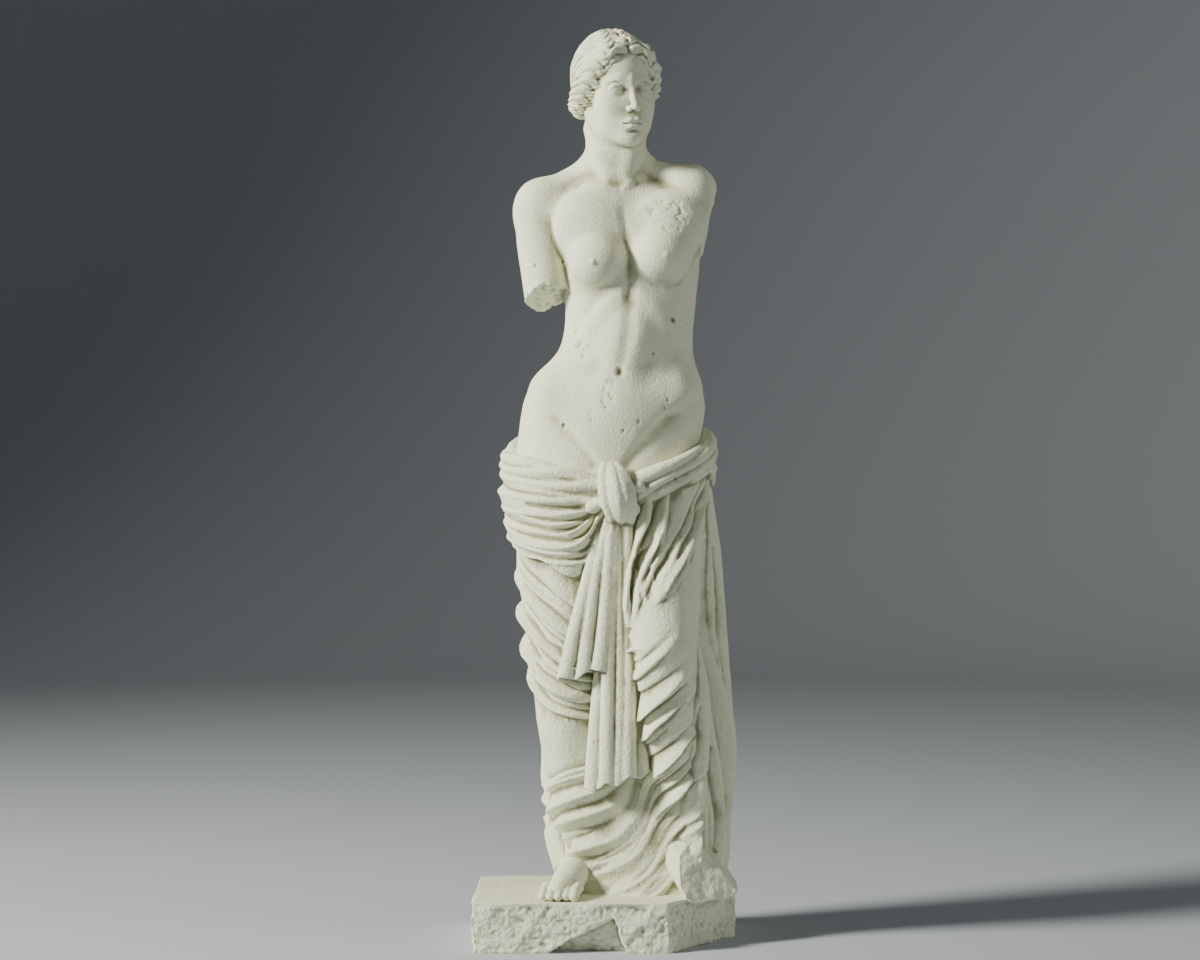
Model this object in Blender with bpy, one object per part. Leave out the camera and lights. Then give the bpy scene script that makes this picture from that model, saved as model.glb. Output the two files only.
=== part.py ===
"""A half-draped Aphrodite on a rough slab, cast as one solid: +Z up, she faces -Y, the origin is under the slab."""

import math

import bmesh
import bpy
import numpy as np

# Driving sizes, in metres.
FIGURE_HEIGHT = 0.7125  # from the slab's top to the crown of the hair
PLINTH_THICKNESS = 0.039
PLINTH_WIDTH = 0.213  # the slab's straight front edge and what the broken corner took off it
PLINTH_DEPTH = 0.132
PLINTH_CORNER_X = 0.056  # how much of the front edge the broken corner took
PLINTH_CORNER_Y = 0.072  # how far back the broken corner reaches
PLINTH_MIDDLE_X = -0.006  # the slab's middle, from the figure's middle line
PLINTH_MIDDLE_Y = 0.006
GRAIN = 0.0024  # side of the cells that the solid is carved in
SOLID_TRIANGLES = 9400

# The figure is shaped in units of which its height holds 950, with the soles at height 50.
FIGURE_UNITS = 950.0
SOLE = 50.0
UNIT = FIGURE_HEIGHT / FIGURE_UNITS
SLAB_TOP = SOLE + 2.0
SLAB_BOTTOM = SOLE - PLINTH_THICKNESS / UNIT
FAR = 400.0
MARGIN = 16.0


def curve(keys, at):
    """A smooth line through rows of (place, value, ...), read at any places."""
    keys = np.asarray(keys, float)
    places, values = keys[:, 0], keys[:, 1:]
    slopes = np.gradient(values, places, axis=0)
    at = np.clip(np.asarray(at, float), places[0], places[-1])
    i = np.clip(np.searchsorted(places, at, side="right") - 1, 0, len(places) - 2)
    span = (places[i + 1] - places[i])[..., None]
    u = (at - places[i])[..., None] / span
    a, b = values[i], values[i + 1]
    rise_a, rise_b = slopes[i] * span, slopes[i + 1] * span
    line = a + u * rise_a + u**2 * (3 * (b - a) - 2 * rise_a - rise_b) + u**3 * (2 * (a - b) + rise_a + rise_b)
    return np.moveaxis(line, -1, 0).astype(np.float32)


def spread(points, count):
    """That many rows along a smooth line through the points, which are taken as evenly spaced."""
    keys = [(k, *p) for k, p in zip(np.linspace(0, 1, len(points)), points)]
    return curve(keys, np.linspace(0, 1, count)).T.astype(float)


def turning(yaw=0, pitch=0, roll=0):
    """A turn about Z, then about the new X, then about the new Y, in degrees."""
    a, b, c = (math.radians(v) for v in (yaw, pitch, roll))
    about_z = np.array([[math.cos(a), -math.sin(a), 0], [math.sin(a), math.cos(a), 0], [0, 0, 1]])
    about_x = np.array([[1, 0, 0], [0, math.cos(b), -math.sin(b)], [0, math.sin(b), math.cos(b)]])
    about_y = np.array([[math.cos(c), 0, math.sin(c)], [0, 1, 0], [-math.sin(c), 0, math.cos(c)]])
    return about_z @ about_x @ about_y


class Place:
    """An origin and a turn that shapes are set in."""

    def __init__(self, origin=(0, 0, 0), turn=None):
        self.origin = np.asarray(origin, float)
        self.turn = np.eye(3) if turn is None else turn

    def out(self, points):
        return self.origin + np.asarray(points, float) @ self.turn.T

    def inward(self, x, y, z):
        """World coordinates as this place's own."""
        x, y, z = x - self.origin[0], y - self.origin[1], z - self.origin[2]
        return [x * self.turn[0, k] + y * self.turn[1, k] + z * self.turn[2, k] for k in range(3)]


WORLD = Place()
HEAD = Place((3, -2, 930), turning(22, 5, -4))


class Clay:
    """Distances from a surface, held on a grid or at loose points, and negative inside."""

    def __init__(self, x, y, z, grid=True):
        self.axes = [np.asarray(v, np.float32) for v in (x, y, z)]
        self.grid = grid
        shape = tuple(v.size for v in self.axes) if grid else self.axes[0].shape
        self.f = np.full(shape, FAR, np.float32)
        self.scratch = np.full(shape, FAR, np.float32)
        self.layers = {}

    def like(self):
        """Empty clay on the same places."""
        return Clay(*self.axes, grid=self.grid)

    def layer(self, name):
        if name not in self.layers:
            self.layers[name] = np.zeros_like(self.f)
        return self.layers[name]

    def everywhere(self):
        x, y, z = self.axes
        return (x[:, None, None], y[None, :, None], z[None, None, :]) if self.grid else (x, y, z)

    def near(self, low, high):
        """The part of the clay between two corners, and its coordinates."""
        if self.grid:
            cut = tuple(slice(*np.searchsorted(v, (a, b))) for v, a, b in zip(self.axes, low, high))
            x, y, z = (v[c] for v, c in zip(self.axes, cut))
            return cut, x[:, None, None], y[None, :, None], z[None, None, :]
        keep = np.ones(self.f.shape, bool)
        for v, a, b in zip(self.axes, low, high):
            keep &= (v > a) & (v < b)
        cut = np.nonzero(keep)[0]
        return cut, *(v[cut] for v in self.axes)

    def blend(self, cut, d, soft, take_away=False):
        """Joins a shape on, or takes it away, with a fillet of about soft."""
        f = -self.f[cut] if take_away else self.f[cut]
        joined = np.minimum(f, d)
        if soft > 0:
            joined = joined - np.maximum(soft - np.abs(f - d), 0) ** 2 * (0.25 / soft)
        self.f[cut] = -joined if take_away else joined

    def ball(self, centre, radii, turn=None, soft=8.0, take_away=False, place=WORLD):
        """An ellipsoid."""
        a, b, c = radii
        own = Place(place.out(centre), place.turn if turn is None else place.turn @ turn)
        reach = max(radii) + soft + MARGIN
        cut, x, y, z = self.near(own.origin - reach, own.origin + reach)
        u, v, w = own.inward(x, y, z)
        k0 = np.sqrt((u / a) ** 2 + (v / b) ** 2 + (w / c) ** 2)
        k1 = np.sqrt((u / a**2) ** 2 + (v / b**2) ** 2 + (w / c**2) ** 2)
        self.blend(cut, k0 * (k0 - 1) / np.maximum(k1, 1e-6), soft, take_away)

    def rod(self, path, soft=8.0, take_away=False, place=WORLD):
        """A rounded rod through (x, y, z, radius) points."""
        path = np.asarray(path, float)
        p, r = place.out(path[:, :3]), path[:, 3]
        reach = soft + MARGIN
        cut, *_ = self.near((p - r[:, None]).min(0) - reach, (p + r[:, None]).max(0) + reach)
        self.scratch[cut] = FAR
        for a, b, ra, rb in zip(p[:-1], p[1:], r[:-1], r[1:]):
            pad = max(ra, rb) + reach
            part, x, y, z = self.near(np.minimum(a, b) - pad, np.maximum(a, b) + pad)
            t, d = along(x, y, z, a, b)
            self.scratch[part] = np.minimum(self.scratch[part], d - ra - t * (rb - ra))
        self.blend(cut, self.scratch[cut], soft, take_away)

    def loft(self, keys, soft=8.0, square=2.0, low=None):
        """Ovals stacked up Z: rows of (height, centre x, centre y, half width, half depth front, half depth back)."""
        keys = np.asarray(keys, float)
        low = keys[0, 0] if low is None else low
        high = keys[-1, 0]
        pad = soft + 2 * MARGIN
        middle, widest = keys[:, 1], keys[:, 3].max()
        cut, x, y, z = self.near(
            (middle.min() - widest - pad, (keys[:, 2] - keys[:, 4]).min() - pad, low - pad),
            (middle.max() + widest + pad, (keys[:, 2] + keys[:, 5]).max() + pad, high + pad),
        )
        cx, cy, half, front, back = (v.reshape(z.shape) for v in curve(keys, z))
        u, v = x - cx, y - cy
        depth = np.where(v < 0, front, back)
        q = (np.abs(u / half) ** square + np.abs(v / depth) ** square) ** (1 / square)
        d = np.sqrt(u * u + v * v) * (q - 1) / np.maximum(q, 1e-3)
        d = np.maximum(d, -np.minimum(half, depth))
        d = np.maximum(d, np.abs(z - (low + high) / 2) - (high - low) / 2)
        self.blend(cut, d, soft)

    def ridge(self, path, out, layer, sharp=True, reach=30.0):
        """Raises a layer along (x, y, z, half width, height) points, whose outward directions are in out."""
        path = np.asarray(path, float)
        p, w, h = path[:, :3], path[:, 3], path[:, 4]
        store = self.layer(layer)
        for i in range(len(p) - 1):
            n = out[i] + out[i + 1]
            n = n / np.linalg.norm(n)
            pad = max(w[i], w[i + 1]) + 1 + reach * np.abs(n)
            part, x, y, z = self.near(np.minimum(p[i], p[i + 1]) - pad, np.maximum(p[i], p[i + 1]) + pad)
            x, y, z = x - p[i][0], y - p[i][1], z - p[i][2]
            run, veer = p[i + 1] - p[i], out[i + 1] - out[i]
            level = run - n * (run @ n)
            t = (x * level[0] + y * level[1] + z * level[2]) / max(level @ level, 1e-6)
            t = np.clip(t, 0, 1)
            x, y, z = x - t * run[0], y - t * run[1], z - t * run[2]
            lift = x * (out[i][0] + t * veer[0]) + y * (out[i][1] + t * veer[1]) + z * (out[i][2] + t * veer[2])
            d = np.sqrt(np.maximum(x * x + y * y + z * z - lift * lift, 0))
            s = np.clip(1 - d / (w[i] + t * (w[i + 1] - w[i])), 0, 1)
            s = s * np.sqrt(s) if sharp else s * s * (3 - 2 * s)
            bump = (h[i] + t * (h[i + 1] - h[i])) * s * step_up(0.75 * reach - np.abs(lift), 0.5 * reach)
            store[part] = np.maximum(store[part], bump)


def along(x, y, z, a, b):
    """How far along from a to b the nearest point of that line is, as a share, and the distance to it."""
    run = b - a
    t = ((x - a[0]) * run[0] + (y - a[1]) * run[1] + (z - a[2]) * run[2]) / max(run @ run, 1e-6)
    t = np.clip(t, 0, 1)
    d = np.sqrt((x - a[0] - t * run[0]) ** 2 + (y - a[1] - t * run[1]) ** 2 + (z - a[2] - t * run[2]) ** 2)
    return t, d


def step_up(v, width):
    """0 to 1 as v passes 0, over that width."""
    t = np.clip(v / width + 0.5, 0, 1)
    return t * t * (3 - 2 * t)


def noise(x, y, z, size, seed):
    """Smooth noise from -1 to 1, with lumps of about this size."""
    cells = 32
    lattice = np.random.RandomState(seed).rand(cells, cells, cells).astype(np.float32)
    ends = []
    for v in (x, y, z):
        v = v / size + 100
        i = np.floor(v).astype(np.int32)
        t = v - i
        t = t * t * (3 - 2 * t)
        ends.append(((i % cells, 1 - t), ((i + 1) % cells, t)))
    total = 0
    for i, wi in ends[0]:
        for j, wj in ends[1]:
            for k, wk in ends[2]:
                total = total + lattice[i, j, k] * wi * wj * wk
    return total * 2 - 1


def snap(clay, point, normal, rough, within):
    """Breaks off what lies beyond a plane, and leaves the face uneven."""
    point, normal = np.asarray(point, float), np.asarray(normal, float)
    normal = normal / np.linalg.norm(normal)
    cut, x, y, z = clay.near(point - within, point + within)
    d = (x - point[0]) * normal[0] + (y - point[1]) * normal[1] + (z - point[2]) * normal[2]
    d = d + rough * (noise(x, y, z, 11, 3) + 0.5 * noise(x, y, z, 5, 4))
    clay.blend(cut, -d, 1.0, take_away=True)


# The middle line that angles are counted round: 0 is the front, 90 her left, -90 her right.
CORE = [(0, 38, 6), (100, 37, 6), (300, 14, 2), (500, -2, 2), (700, 8, 2), (900, 6, 2)]


def on_form(angles, heights, make):
    """Where level rays from the middle line leave the form that make builds, and the rays' directions."""
    angles, heights = np.radians(np.asarray(angles, float)), np.asarray(heights, float)
    cx, cy = curve(CORE, heights)
    dx, dy = np.sin(angles), -np.cos(angles)
    step = 3.0
    r = np.arange(16, 172, step)
    clay = Clay((cx[:, None] + dx[:, None] * r).ravel(), (cy[:, None] + dy[:, None] * r).ravel(),
                np.repeat(heights, r.size), grid=False)
    make(clay)
    f = clay.f.reshape(len(angles), r.size)
    last = (r.size - 2) - np.argmax((f[:, :-1] < 0)[:, ::-1], axis=1)
    rows = np.arange(len(angles))
    inner, outer = f[rows, last], f[rows, last + 1]
    radius = r[last] + step * np.clip(inner / (inner - outer + 1e-6), 0, 1)
    points = np.stack([cx + dx * radius, cy + dy * radius, heights], 1)
    return points, np.stack([dx, dy, np.zeros_like(dx)], 1)


# The body


def torso_form(clay):
    """Hips, waist, rib cage and shoulders, as masses."""
    clay.loft([
        (440, 0, 4, 92, 58, 68), (490, -3, 4, 99, 60, 72), (530, -5, 4, 101, 60, 70), (565, -2, 4, 97, 56, 62),
        (600, 5, 3, 87, 50, 52), (635, 13, 3, 76, 45, 44), (665, 18, 3, 71, 43, 41), (700, 20, 4, 72, 45, 44),
        (740, 19, 5, 77, 46, 49), (780, 14, 6, 80, 41, 52), (808, 9, 9, 72, 35, 46), (826, 6, 11, 52, 26, 36),
        (840, 4, 12, 24, 14, 20),
    ], soft=6, square=2.2)
    for side, shoulder, blade in ((-1, (-80, 9, 811), 776), (1, (86, 9, 828), 782)):
        middle = (side * 45, 13, 0.5 * (shoulder[2] + 852))
        clay.rod([(4, 17, 856, 20), (*middle, 17), (*shoulder, 19)], soft=18)
        clay.ball((12 + side * 42, 44, blade), (27, 13, 38), turning(side * -10, 0, side * 10), soft=18)
        clay.ball((-4 + side * 42, 40, 522), (46, 40, 48), soft=18)
        clay.ball((2 + side * 66, 2, 590), (28, 42, 34), soft=30)
        clay.rod([(4 + side * 20, 34, 600, 14), (12 + side * 20, 29, 650, 14), (16 + side * 20, 33, 712, 14)], soft=26)
    for side, height, turn in ((-1, 741, -6), (1, 749, 12)):
        x = 19 + side * 36
        clay.ball((x, -34, height), (30.5, 26, 29), turning(turn, 10, 0), soft=10)
        clay.ball((x + side * 10, -20, 784), (36, 20, 34), turning(0, 0, side * 24), soft=22)
    clay.ball((4, -25, 578), (50, 33, 48), soft=26)
    clay.ball((13, -26, 652), (36, 24, 36), soft=24)


def mark(clay, make, lines, raised):
    """Soft swellings or grooves in the flesh, along lines of (angle, height, half width, depth)."""
    for line in lines:
        angles, heights, widths, depths = spread(line, 12).T
        points, out = on_form(angles, heights, make)
        clay.ridge(np.column_stack([points, widths, depths]), out, "mark", sharp=False, reach=22)
    clay.f += clay.layer("mark") * (-1 if raised else 1)
    clay.layers.pop("mark")


def torso(clay):
    """The trunk, with the midline, the rib arch, the collar bones, the groins, the spine and the navel."""
    torso_form(clay)
    mark(clay, torso_form, [
        [(4, 796, 8, 0.8), (14, 745, 9, 2.4), (14, 690, 11, 2.2), (11, 655, 11, 1.8), (5, 630, 9, 1.0)],
        [(-18, 692, 15, 0), (-24, 655, 18, 1.3), (-29, 615, 18, 1.0), (-29, 580, 15, 0)],
        [(45, 692, 15, 0), (40, 655, 18, 1.3), (33, 615, 18, 1.0), (26, 580, 15, 0)],
        [(-100, 606, 13, 0), (-74, 588, 16, 2.8), (-46, 556, 16, 3.2), (-20, 520, 12, 2)],
        [(98, 604, 13, 0), (70, 586, 16, 2.8), (44, 556, 16, 3.2), (18, 520, 12, 2)],
        [(182, 812, 14, 1), (176, 740, 17, 4), (175, 660, 17, 4), (178, 600, 15, 2.5), (180, 560, 10, 4)],
    ], raised=False)
    mark(clay, torso_form, [
        [(14, 722, 13, 0.6), (-12, 700, 16, 2.2), (-42, 668, 17, 1.9), (-72, 652, 14, 0)],
        [(14, 722, 13, 0.6), (36, 700, 16, 2.2), (60, 668, 17, 1.9), (84, 652, 14, 0)],
        [(-9, 820, 6, 2.2), (-35, 822, 7, 2.8), (-62, 824, 8, 1.8)],
        [(11, 823, 6, 2.2), (38, 831, 7, 2.8), (62, 836, 8, 1.8)],
    ], raised=True)
    clay.ball((8, -55, 620), (3.2, 6, 4.2), soft=5, take_away=True)
    for x, y, z in ((-21, -58.5, 738), (58, -57, 745)):
        clay.ball((x, y, z), (2.3, 3.0, 2.3), soft=3.5)


def neck(clay):
    clay.rod([(5, 15, 818, 34), (4, 12, 850, 30.5), (4, 6, 885, 28.5), (3, 8, 912, 30)], soft=22)
    for side in (-1, 1):
        clay.rod([(5 + side * 7, -13, 832, 5), (4 + side * 16, -11, 858, 6), (4 + side * 27, 3, 890, 7)], soft=14)
    clay.ball((5, -28, 829), (6, 4, 5), soft=10, take_away=True)


def arms(clay):
    """Her right arm is broken off above the elbow, and her left one at the shoulder."""
    clay.ball((-82, 7, 800), (27, 27, 34), turning(0, 0, 12), soft=16)
    stump = clay.like()
    stump.rod(spread([(-82, 7, 806, 22), (-80, 4, 772, 25.5), (-74, -2, 728, 25.5), (-68, -8, 670, 23)], 14), soft=0)
    snap(stump, (-72, -6, 704), (0.22, -0.45, -0.87), 1.6, 60)
    cut, *_ = clay.near((-130, -50, 640), (-30, 50, 850))
    clay.blend(cut, stump.f[cut], 5)
    shoulder = clay.like()
    shoulder.ball((90, 7, 817), (27, 28, 33), turning(0, 0, -8), soft=0)
    shoulder.rod([(90, 7, 812, 25), (118, 0, 770, 22)], soft=4)
    snap(shoulder, (108, 4, 800), (0.96, -0.12, -0.22), 1.8, 60)
    cut, *_ = clay.near((40, -50, 740), (150, 60, 880))
    clay.blend(cut, shoulder.f[cut], 14)


# The head, in its own place: the eyes at height 0, the chin at -60, the face towards -Y


def head(clay):
    at = {"place": HEAD}
    clay.ball((0, 6, 14), (37, 50, 44), soft=6, **at)
    clay.ball((0, -18, -8), (31, 32, 44), soft=10, **at)
    clay.ball((0, -16, 24), (32, 32, 26), soft=8, **at)
    clay.ball((0, -20, -36), (20, 25, 17), soft=12, **at)
    jaw = [(-26, 0, -22, 9), (-19, -22, -40, 8.5), (-7, -37, -49, 8.5), (7, -37, -49, 8.5), (19, -22, -40, 8.5), (26, 0, -22, 9)]
    clay.rod(jaw, soft=12, **at)
    clay.ball((0, -42.5, -51), (9.5, 9, 9), soft=8, **at)
    clay.ball((0, -39, -37), (15, 11, 12), soft=8, **at)
    nose(clay)
    lips(clay)
    for side in (-1, 1):
        clay.ball((side * 20, -29, -12), (12, 12, 13), soft=10, **at)
        clay.ball((side * 16, -28, -26), (13, 14, 17), soft=12, **at)
        eye(clay, side)


def nose(clay):
    at = {"place": HEAD}
    clay.rod([(0, -45.5, 12, 3.6), (0, -51, -4, 3.2), (0, -56.5, -17, 3.6)], soft=5, **at)
    clay.ball((0, -57.5, -19), (4.0, 4.8, 4.0), soft=3, **at)
    for side in (-1, 1):
        clay.ball((side * 5.0, -52.5, -21), (2.9, 4.4, 3.4), soft=2.5, **at)
        clay.ball((side * 3.0, -55.5, -24.5), (1.5, 2.3, 1.5), soft=1, take_away=True, **at)
    clay.rod([(0, -54.5, -27.5, 0.9), (0, -54.5, -32, 1.3)], soft=2, take_away=True, **at)


def lips(clay):
    at = {"place": HEAD}
    upper = [(-11, -46.5, -35.6, 1.5), (-4.6, -51, -33.4, 3.1), (0, -51.6, -34.4, 2.8), (4.6, -51, -33.4, 3.1), (11, -46.5, -35.6, 1.5)]
    lower = [(-8.5, -47.5, -38.4, 1.8), (-3.2, -50.8, -40.8, 3.8), (3.2, -50.8, -40.8, 3.8), (8.5, -47.5, -38.4, 1.8)]
    parting = [(-11.5, -47.5, -36.9, 0.7), (-4, -53, -36.8, 1), (0, -53.6, -37.4, 1), (4, -53, -36.8, 1), (11.5, -47.5, -36.9, 0.7)]
    clay.rod(upper, soft=3, **at)
    clay.rod(lower, soft=3, **at)
    clay.rod(parting, soft=1.2, take_away=True, **at)
    clay.ball((0, -53.5, -45.5), (9, 4, 2.4), soft=4, take_away=True, **at)


def eye(clay, side):
    """The socket, the ball of the eye, both lids, the crease above them and the brow."""
    at = {"place": HEAD}
    clay.ball((side * 16, -53, 0), (11, 7.0, 6.5), soft=7, take_away=True, **at)
    clay.rod([(side * 3, -46, 8, 3), (side * 13, -44.5, 11, 3.2), (side * 24, -36, 7, 3)], soft=7, **at)
    cx, cy, cz, radius = side * 15.5, -37.5, -0.5, 9.6
    clay.ball((cx, cy, cz), (radius, radius, radius), soft=1.5, **at)
    for up, size, tall in ((1, 1.2, 6.6), (-1, 1.0, 5.6), (1, 1.5, 4.2), (-1, 1.2, 3.2)):
        lid = []
        for k in np.linspace(-1, 1, 9):
            x, z = 8.0 * k, up * tall * (1 - k * k) ** 0.8
            y = -math.sqrt(max(radius**2 - x * x - z * z, 4))
            lid.append((cx + x, cy + y + 0.1, cz + z + 0.5 * side * k, size * (1 - 0.4 * k * k)))
        clay.rod(lid, soft=2.5 if tall > 5 else 0.5, **at)
    crease = [(cx - side * 4.5, cy - 8.4, cz + 7.4, 0.5), (cx + side * 1, cy - 8.0, cz + 8.8, 0.8),
              (cx + side * 8, cy - 4.6, cz + 6.8, 0.5)]
    clay.rod(crease, soft=2.2, take_away=True, **at)


def hair(clay):
    """Waved hair, parted in the middle and drawn back over the ears to a knot at the nape."""
    at = {"place": HEAD}
    clay.ball((0, 9, 16), (42, 53, 51.5), soft=1, **at)
    for side in (-1, 1):
        clay.rod([(side * x, y, z, r) for x, y, z, r in (
            (2, -32, 46, 9), (20, -33, 38, 11), (33, -20, 20, 12), (38, -4, 2, 12.5),
            (36, 14, -12, 12), (24, 36, -14, 12), (6, 50, -8, 12))], soft=8, **at)
    clay.ball((0, 61, -3), (20, 15, 17), soft=5, **at)
    reach = 90
    cut, x, y, z = clay.near(HEAD.origin - reach, HEAD.origin + reach)
    u, v, w = HEAD.inward(x, y, z)
    aside = np.abs(u)
    angle = np.arctan2(w + 5, 58 - v)
    wave = 0.05 * np.sin(aside / 4.4 + 5 * angle) + 0.015 * np.sin(aside / 2.3 + 9 * angle)
    angle = angle + wave * np.clip(aside / 12, 0.2, 1) * (0.35 + 0.65 * step_up(24 - v, 40))
    lock = np.sqrt(np.abs(np.sin(26 * angle)))
    fine = np.abs(np.sin(70 * angle + 0.8 * np.sin(aside / 5)))
    parting = np.exp(-((aside / 2.2) ** 2)) * step_up(20 - v, 30)
    clear = step_up(np.hypot(w + 5, 58 - v) - 12, 16)
    coil = np.sqrt(np.abs(np.sin(3 * np.arctan2(w + 3, u) + 0.16 * np.hypot(w + 3, u))))
    at_knot = step_up(19 - np.hypot(u / 1.15, w + 3), 4) * step_up(v - 50, 8)
    strands = (3.1 * (lock - 0.6) + 0.8 * (fine - 0.5)) * clear - 3.5 * parting
    clay.f[cut] -= strands * (1 - at_knot) + 2.6 * (coil - 0.6) * at_knot


# The cloth

LEFT_LEG = [(44, 0, 512, 50), (50, -22, 440, 47), (54, -46, 370, 41), (56, -58, 325, 36), (60, -50, 285, 33),
            (67, -30, 220, 31), (78, -8, 150, 26), (88, 4, 90, 22)]
RIGHT_LEG = [(-46, 2, 520, 50), (-46, -4, 430, 47), (-44, -10, 345, 38), (-43, -9, 305, 35), (-45, 2, 240, 34),
             (-42, 10, 180, 29), (-34, 10, 80, 21)]
# The roll's height round the hips, and the hem of the part that hangs over it, by angle.
ROLL = [(-180, 560), (-130, 545), (-90, 520), (-45, 500), (6, 486), (50, 508), (90, 534), (135, 553), (180, 560)]
OVERHANG = [(-180, 452), (-120, 446), (-90, 438), (-62, 416), (-38, 404), (-18, 430), (-2, 470), (10, 505),
            (60, 520), (85, 505), (120, 480), (150, 462), (180, 452)]


def cloth_form(clay):
    """The legs and the cloth that hangs round them, with no folds yet."""
    clay.rod(LEFT_LEG, soft=16)
    clay.rod(RIGHT_LEG, soft=16)
    clay.loft([
        (30, 37, 8, 88, 42, 56), (60, 37, 8, 82, 38, 52), (120, 36, 8, 86, 32, 50), (200, 32, 8, 97, 28, 54),
        (300, 15, 6, 103, 30, 62), (400, 6, 4, 104, 42, 70), (480, -2, 3, 108, 56, 76), (560, -4, 3, 105, 58, 74),
    ], soft=26, low=46)


def hips_form(clay):
    torso_form(clay)
    cloth_form(clay)


def family(first, last, count, width, height, seed, side=1, groove=0.8, rise=0.2):
    """Folds spread from one path of (angle, height) points to another, each with a groove along one side."""
    rng = np.random.RandomState(seed)
    t = np.linspace(0, 1, 19)
    first, last = spread(first, t.size), spread(last, t.size)
    folds = []
    for i in range(count):
        share = (i + 0.5 * rng.uniform(-1, 1)) / max(count - 1, 1)
        path = first + (last - first) * share
        path[:, 0] += 1.5 * np.sin(t * rng.uniform(3, 7) + rng.uniform(0, 6))
        ends = np.minimum(t / (rise * rng.uniform(0.5, 1.5)), (1 - t) / rng.uniform(0.08, 0.3))
        fade = np.minimum(1, ends + 0.04)
        big = rng.uniform(0.55, 1.5)
        w = width * big * (0.6 + 0.4 * fade)
        h = np.minimum(height * big * fade**0.8, 0.9 * w)
        folds.append((False, path, w, h))
        beside = path + np.stack([np.degrees(0.85 * w / 95) * side, 0 * t], 1)
        narrow = np.maximum(w * 0.7, 6)
        folds.append((True, beside, narrow, np.minimum(h * groove, 0.7 * narrow)))
    return folds


def relief(folds, angle, z, radius):
    """How far these folds rise above the plain cloth: they are drawn on a sheet that is wrapped round it."""
    step, low, units_per_degree = 0.5, 30.0, 1.66
    round_it, up_it = np.arange(-180, 180 + step, step), np.arange(low, 620, 1.0)
    sheets = np.zeros((2, round_it.size, up_it.size), np.float32)
    for sunk, path, w, h in folds:
        for i in range(len(path) - 1):
            (a0, z0), (a1, z1) = path[i], path[i + 1]
            wide = max(w[i], w[i + 1])
            u = ((round_it - a0 + 180) % 360 - 180) * units_per_degree
            run_u, run_v = (a1 - a0) * units_per_degree, z1 - z0
            cols = np.nonzero(np.abs(u) < wide + abs(run_u))[0]
            rows = np.arange(*np.searchsorted(up_it, (min(z0, z1) - wide, max(z0, z1) + wide)))
            u, v = u[cols, None], up_it[rows] - z0
            t = np.clip((u * run_u + v * run_v) / max(run_u**2 + run_v**2, 1e-6), 0, 1)
            s = np.clip(1 - np.hypot(u - t * run_u, v - t * run_v) / (w[i] + t * (w[i + 1] - w[i])), 0, 1)
            at = (int(sunk), cols[:, None], rows)
            sheets[at] = np.maximum(sheets[at], (h[i] + t * (h[i + 1] - h[i])) * s * (2 - s))
    sheet = sheets[0] - sheets[1]
    i, k = (angle + 180) / step, np.clip(z - low, 0, up_it.size - 2)
    i0, k0 = np.minimum(i.astype(np.int32), round_it.size - 2), k.astype(np.int32)
    i, k = i - i0, k - k0
    height = (sheet[i0, k0] * (1 - i) + sheet[i0 + 1, k0] * i) * (1 - k)
    height += (sheet[i0, k0 + 1] * (1 - i) + sheet[i0 + 1, k0 + 1] * i) * k
    return height * np.clip((radius - 24) / 44, 0.1, 1)


def skirt_folds():
    """From her right hip round by the front and her left side to the back."""
    return (
        family([(-150, 450), (-140, 300), (-132, 150), (-126, 50)], [(-104, 440), (-112, 320), (-108, 190), (-88, 50)], 5, 11, 11, 3)
        + family([(-100, 446), (-66, 396), (-30, 352), (14, 344)], [(-112, 310), (-80, 256), (-40, 238), (6, 286)], 6, 9, 10, 8)
        + family([(36, 326), (0, 262), (-46, 196), (-110, 140)], [(64, 136), (38, 90), (-2, 62), (-50, 46)], 8, 11, 14, 21, -1, rise=0.5)
        + family([(40, 505), (28, 450), (14, 400), (6, 340)], [(92, 512), (66, 455), (44, 415), (26, 380)], 4, 10, 8, 11, -1)
        + family([(60, 330), (60, 230), (60, 140), (58, 60)], [(80, 320), (84, 220), (84, 130), (82, 50)], 3, 10, 9, 12)
        + family([(78, 500), (86, 380), (94, 240), (92, 50)], [(138, 530), (136, 380), (140, 240), (126, 50)], 5, 14, 14, 13)
        + family([(148, 540), (160, 400), (176, 240), (146, 50)], [(222, 440), (220, 300), (222, 180), (222, 50)], 8, 12, 12, 17, -1)
    )


def overhang_folds():
    return (
        family([(2, 492), (-28, 480), (-66, 484), (-108, 500)], [(0, 480), (-26, 430), (-58, 428), (-104, 452)], 5, 10, 8, 24, -1)
        + family([(170, 540), (140, 520), (110, 510), (80, 515)], [(250, 520), (200, 478), (150, 478), (100, 490)], 4, 12, 6, 29, -1)
    )


# The two ends that fall from the knot: x at top and foot, height at top and foot, half width at each, pleats.
KNOT_ENDS = [(0, -24, 478, 292, 9, 24, 4), (10, 6, 478, 172, 10, 25, 5)]


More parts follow.
